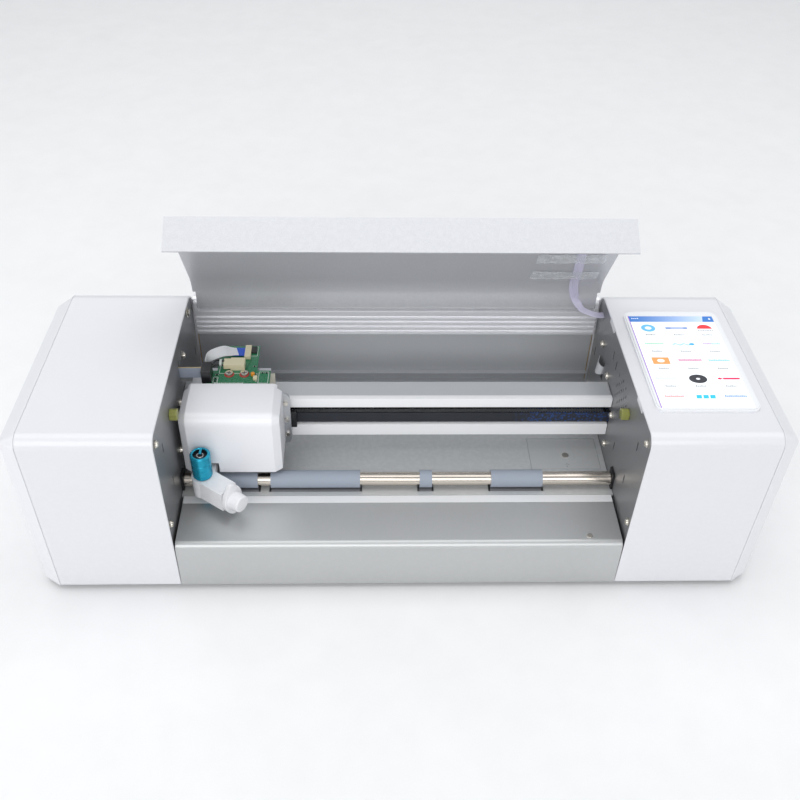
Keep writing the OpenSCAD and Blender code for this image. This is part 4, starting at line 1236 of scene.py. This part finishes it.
class CUTTER_OT_trim(bpy.types.Operator):
    """Make the clear tapes, plate tabs, slot cable, painted reflections at the rear panel's edges, hinge bolt
    and inlet blades
    """

    bl_idname = "cutter.trim"
    bl_label = "Small trim"

    def execute(self, context):
        settings = context.scene.cutter.trim
        self.tapes(settings)
        self.plate_trim()
        self.panel_edges(settings)
        self.hinge_bolt()
        self.inlet_pins()
        return {"FINISHED"}

    def tapes(self, settings):
        """Clear tapes across the lid's cable, pulled into faint waves."""
        mesh = NODES["lid_tapes"].data
        slope = self.lid_slope()
        out = X_AXIS.cross(slope).normalized()
        points = [(v.co - ORIGIN) / MM for v in mesh.vertices]
        seam = sum(p.dot(slope) for p in points) / len(points)
        groups = [[p for p in points if p.dot(slope) < seam], [p for p in points if p.dot(slope) >= seam]]
        bm = bmesh.new()
        for group in groups:
            self.wavy_sheet(bm, group, slope, out, 0.25 if settings.wrinkles else 0.0)
        piece = make_piece("clear_tapes", bm, "tape_clear", "lid", smooth=60)
        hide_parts("lid_tapes")

    def lid_slope(self):
        """Direction up the open lid, from the hinge to the fold."""
        low, high = corners("lid_ribbon")
        return Vector((0, low.y - high.y, high.z - low.z)).normalized()

    def wavy_sheet(self, bm, group, slope, out, wave):
        x0, x1 = min(p.x for p in group), max(p.x for p in group)
        s0, s1 = min(p.dot(slope) for p in group), max(p.dot(slope) for p in group)
        level = sum(p.dot(out) for p in group) / len(group)
        columns, rows = 26, 10
        sides = {}
        for layer in (0, 1):
            for i in range(columns + 1):
                for j in range(rows + 1):
                    x = mix(x0, x1, i / columns)
                    s = mix(s0, s1, j / rows)
                    ripple = math.sin(x * 0.9 + s * 0.35) + 0.6 * math.sin(s * 1.1 - x * 0.4)
                    lift = wave * ripple - 0.1 + 0.2 * layer
                    p = X_AXIS * x + slope * s + out * (level + lift)
                    sides[layer, i, j] = bm.verts.new(at(*p))
        for layer in (0, 1):
            for i in range(columns):
                for j in range(rows):
                    bm.faces.new([sides[layer, i + a, j + b] for a, b in ((0, 0), (1, 0), (1, 1), (0, 1))])
        rim = [(i, 0) for i in range(columns)] + [(columns, j) for j in range(rows)]
        rim += [(i, rows) for i in range(columns, 0, -1)] + [(0, j) for j in range(rows, 0, -1)]
        add_band(bm, [sides[0, i, j] for i, j in rim], [sides[1, i, j] for i, j in rim])

    def plate_trim(self):
        """White tabs on the plate's rim and the short cable that comes out of its slot."""
        inner = corners("side_plate_right")[0].x
        bm = bmesh.new()
        for y, z in ((36.0, 141.4), (129.0, 137.6)):
            add_box(bm, (inner - 0.9, y - 7, z - 3.0), (inner, y + 7, z))
        make_piece("plate_tabs", bm, "housing_white", "chassis", bevel=0.3)
        bm = bmesh.new()
        bends = ((2, 133.5, 90), (-1.5, 133.2, 90.5), (-3.2, 138, 90), (-1.2, 146, 88))
        route = [Vector((inner + x, y, z)) for x, y, z in bends]
        across = [Z_AXIS, Z_AXIS, Z_AXIS - Y_AXIS * 0.2, Z_AXIS - Y_AXIS * 0.4]
        add_ribbon(bm, [at(*p) for p in route], [6, 8, 12, 13], across, 0.35)
        make_piece("slot_cable", bm, "ribbon_white", "chassis")

    def panel_edges(self, settings):
        """Painted reflection: a thin tan strip where the rear panel meets each side plate."""
        low, high = corners("rear_panel")
        bm = bmesh.new()
        for x in (low.x, high.x - 0.7):
            add_box(bm, (x, low.y + 3.3, low.z), (x + 0.7, low.y + 3.75, high.z - 0.4))
        reflection_tan = plain_finish("copper_edge", tuple(settings.reflection_tan), 0.3, 0.9)
        make_piece("panel_edges", bm, "panel_grey", "chassis", [reflection_tan], bevel=0.1)

    def hinge_bolt(self):
        """Hexagon bolt with a washer on the left plate, beside the hinge."""
        washer = at(corners("side_plate_left")[1].x, 152.0, 131.0)
        head = washer + X_AXIS * 0.7 * MM
        bm = bmesh.new()
        add_rod(bm, washer, head, 3.6, 28)
        add_rod(bm, head, head + X_AXIS * 1.6 * MM, 2.7, 6)
        make_piece("hinge_bolts", bm, "screw_steel", "chassis", bevel=0.3)

    def inlet_pins(self):
        """Bright blades in the mains inlet."""
        back = corners("power_inlet")[1].y
        bm = bmesh.new()
        for x in (184, 191, 198):
            add_box(bm, (x - 1.1, back - 12.6, 30.9), (x + 1.1, back - 3.4, 35.1))
        make_piece("inlet_blades", bm, "bearing_steel", "chassis", bevel=0.3)


# Soft lights: name, place, aim, width and height in metres, power in watts
LIGHTS = (
    ("overhead", (0.0, 0.15, 1.5), (0.0, 0.0, 0.0), (2.2, 1.1), 10.0),
    ("front_fill", (-0.3, -1.7, 1.1), (0.0, 0.0, 0.1), (2.4, 1.2), 18.0),
    ("left_wall", (-1.6, -0.2, 0.8), (0.0, 0.0, 0.05), (1.4, 1.2), 3.5),
    ("right_wall", (1.7, 0.1, 0.8), (0.0, 0.0, 0.05), (1.4, 1.2), 3.0),
    ("rear_wash", (0.0, 1.6, 1.0), (0.0, 0.0, 0.1), (2.4, 0.9), 3.5),
)


class CUTTER_OT_stage(bpy.types.Operator):
    """Lay the pale floor, hang the soft lights and set the camera"""

    bl_idname = "cutter.stage"
    bl_label = "Stage"

    def execute(self, context):
        settings = context.scene.cutter.stage
        self.floor(settings)
        self.lights(context)
        self.camera(context, settings)
        return {"FINISHED"}

    def floor(self, settings):
        mesh = bpy.data.meshes.new("floor")
        size = 6.0
        outline = [(x, y, 0) for x, y in rectangle(-size, -size, size, size)]
        mesh.from_pydata(outline, [], [(0, 1, 2, 3)])
        floor = bpy.data.objects.new("floor", mesh)
        bpy.context.scene.collection.objects.link(floor)
        mesh.materials.append(plain_finish("floor_pale", tuple(settings.floor_colour), 0.7))

    def lights(self, context):
        world = bpy.data.worlds.new("Studio")
        world.use_nodes = True
        background = world.node_tree.nodes["Background"]
        background.inputs["Color"].default_value = (0.93, 0.96, 1.0, 1)
        background.inputs["Strength"].default_value = 0.50
        context.scene.world = world
        context.scene.view_settings.view_transform = "Standard"
        for name, place, aim, size, power in LIGHTS:
            data = bpy.data.lights.new(name, "AREA")
            data.shape = "RECTANGLE"
            data.size, data.size_y = size
            data.energy = power
            lamp = bpy.data.objects.new(name, data)
            lamp.location = place
            lamp.rotation_mode = "QUATERNION"
            lamp.rotation_quaternion = (Vector(aim) - Vector(place)).to_track_quat("-Z", "Y")
            context.scene.collection.objects.link(lamp)

    def camera(self, context, settings):
        level = Vector((math.sin(settings.heading), math.cos(settings.heading), 0))
        right = Vector((math.cos(settings.heading), -math.sin(settings.heading), 0))
        view = level * math.cos(settings.tilt) - Z_AXIS * math.sin(settings.tilt)
        up = level * math.sin(settings.tilt) + Z_AXIS * math.cos(settings.tilt)
        c, s = math.cos(settings.roll), math.sin(settings.roll)
        rolled_right = right * c + up * s
        rolled_up = up * c - right * s
        data = bpy.data.cameras.new("camera")
        data.sensor_width = 36.0
        data.lens = settings.lens
        data.clip_start = 0.02
        camera = bpy.data.objects.new("camera", data)
        turn = Matrix((rolled_right, rolled_up, -view)).transposed()
        camera.matrix_world = Matrix.Translation(Vector(settings.eye)) @ turn.to_4x4()
        context.scene.collection.objects.link(camera)
        context.scene.camera = camera


OPERATORS = (
    CUTTER_OT_finishes,
    CUTTER_OT_belt,
    CUTTER_OT_ribbons,
    CUTTER_OT_screen,
    CUTTER_OT_board,
    CUTTER_OT_knife,
    CUTTER_OT_trim,
    CUTTER_OT_stage,
)


class CUTTER_PT_panel(bpy.types.Panel):
    bl_label = "Film cutter"
    bl_idname = "CUTTER_PT_panel"
    bl_space_type = "VIEW_3D"
    bl_region_type = "UI"
    bl_category = "Cutter"

    def draw(self, context):
        for operator in OPERATORS:
            self.layout.operator(operator.bl_idname)


CLASSES = (
    CutterFinishSettings,
    CutterBeltSettings,
    CutterRibbonSettings,
    CutterScreenSettings,
    CutterBoardSettings,
    CutterTrimSettings,
    CutterStageSettings,
    CutterSettings,
    *OPERATORS,
    CUTTER_PT_panel,
)


def register():
    for cls in CLASSES:
        bpy.utils.register_class(cls)
    bpy.types.Scene.cutter = PointerProperty(type=CutterSettings)


def unregister():
    del bpy.types.Scene.cutter
    for cls in reversed(CLASSES):
        bpy.utils.unregister_class(cls)


def main():
    register()
    for name in ("finishes", "belt", "ribbons", "screen", "board", "knife", "trim", "stage"):
        getattr(bpy.ops.cutter, name)()
    bpy.context.view_layer.update()


if __name__ == "__main__":
    main()
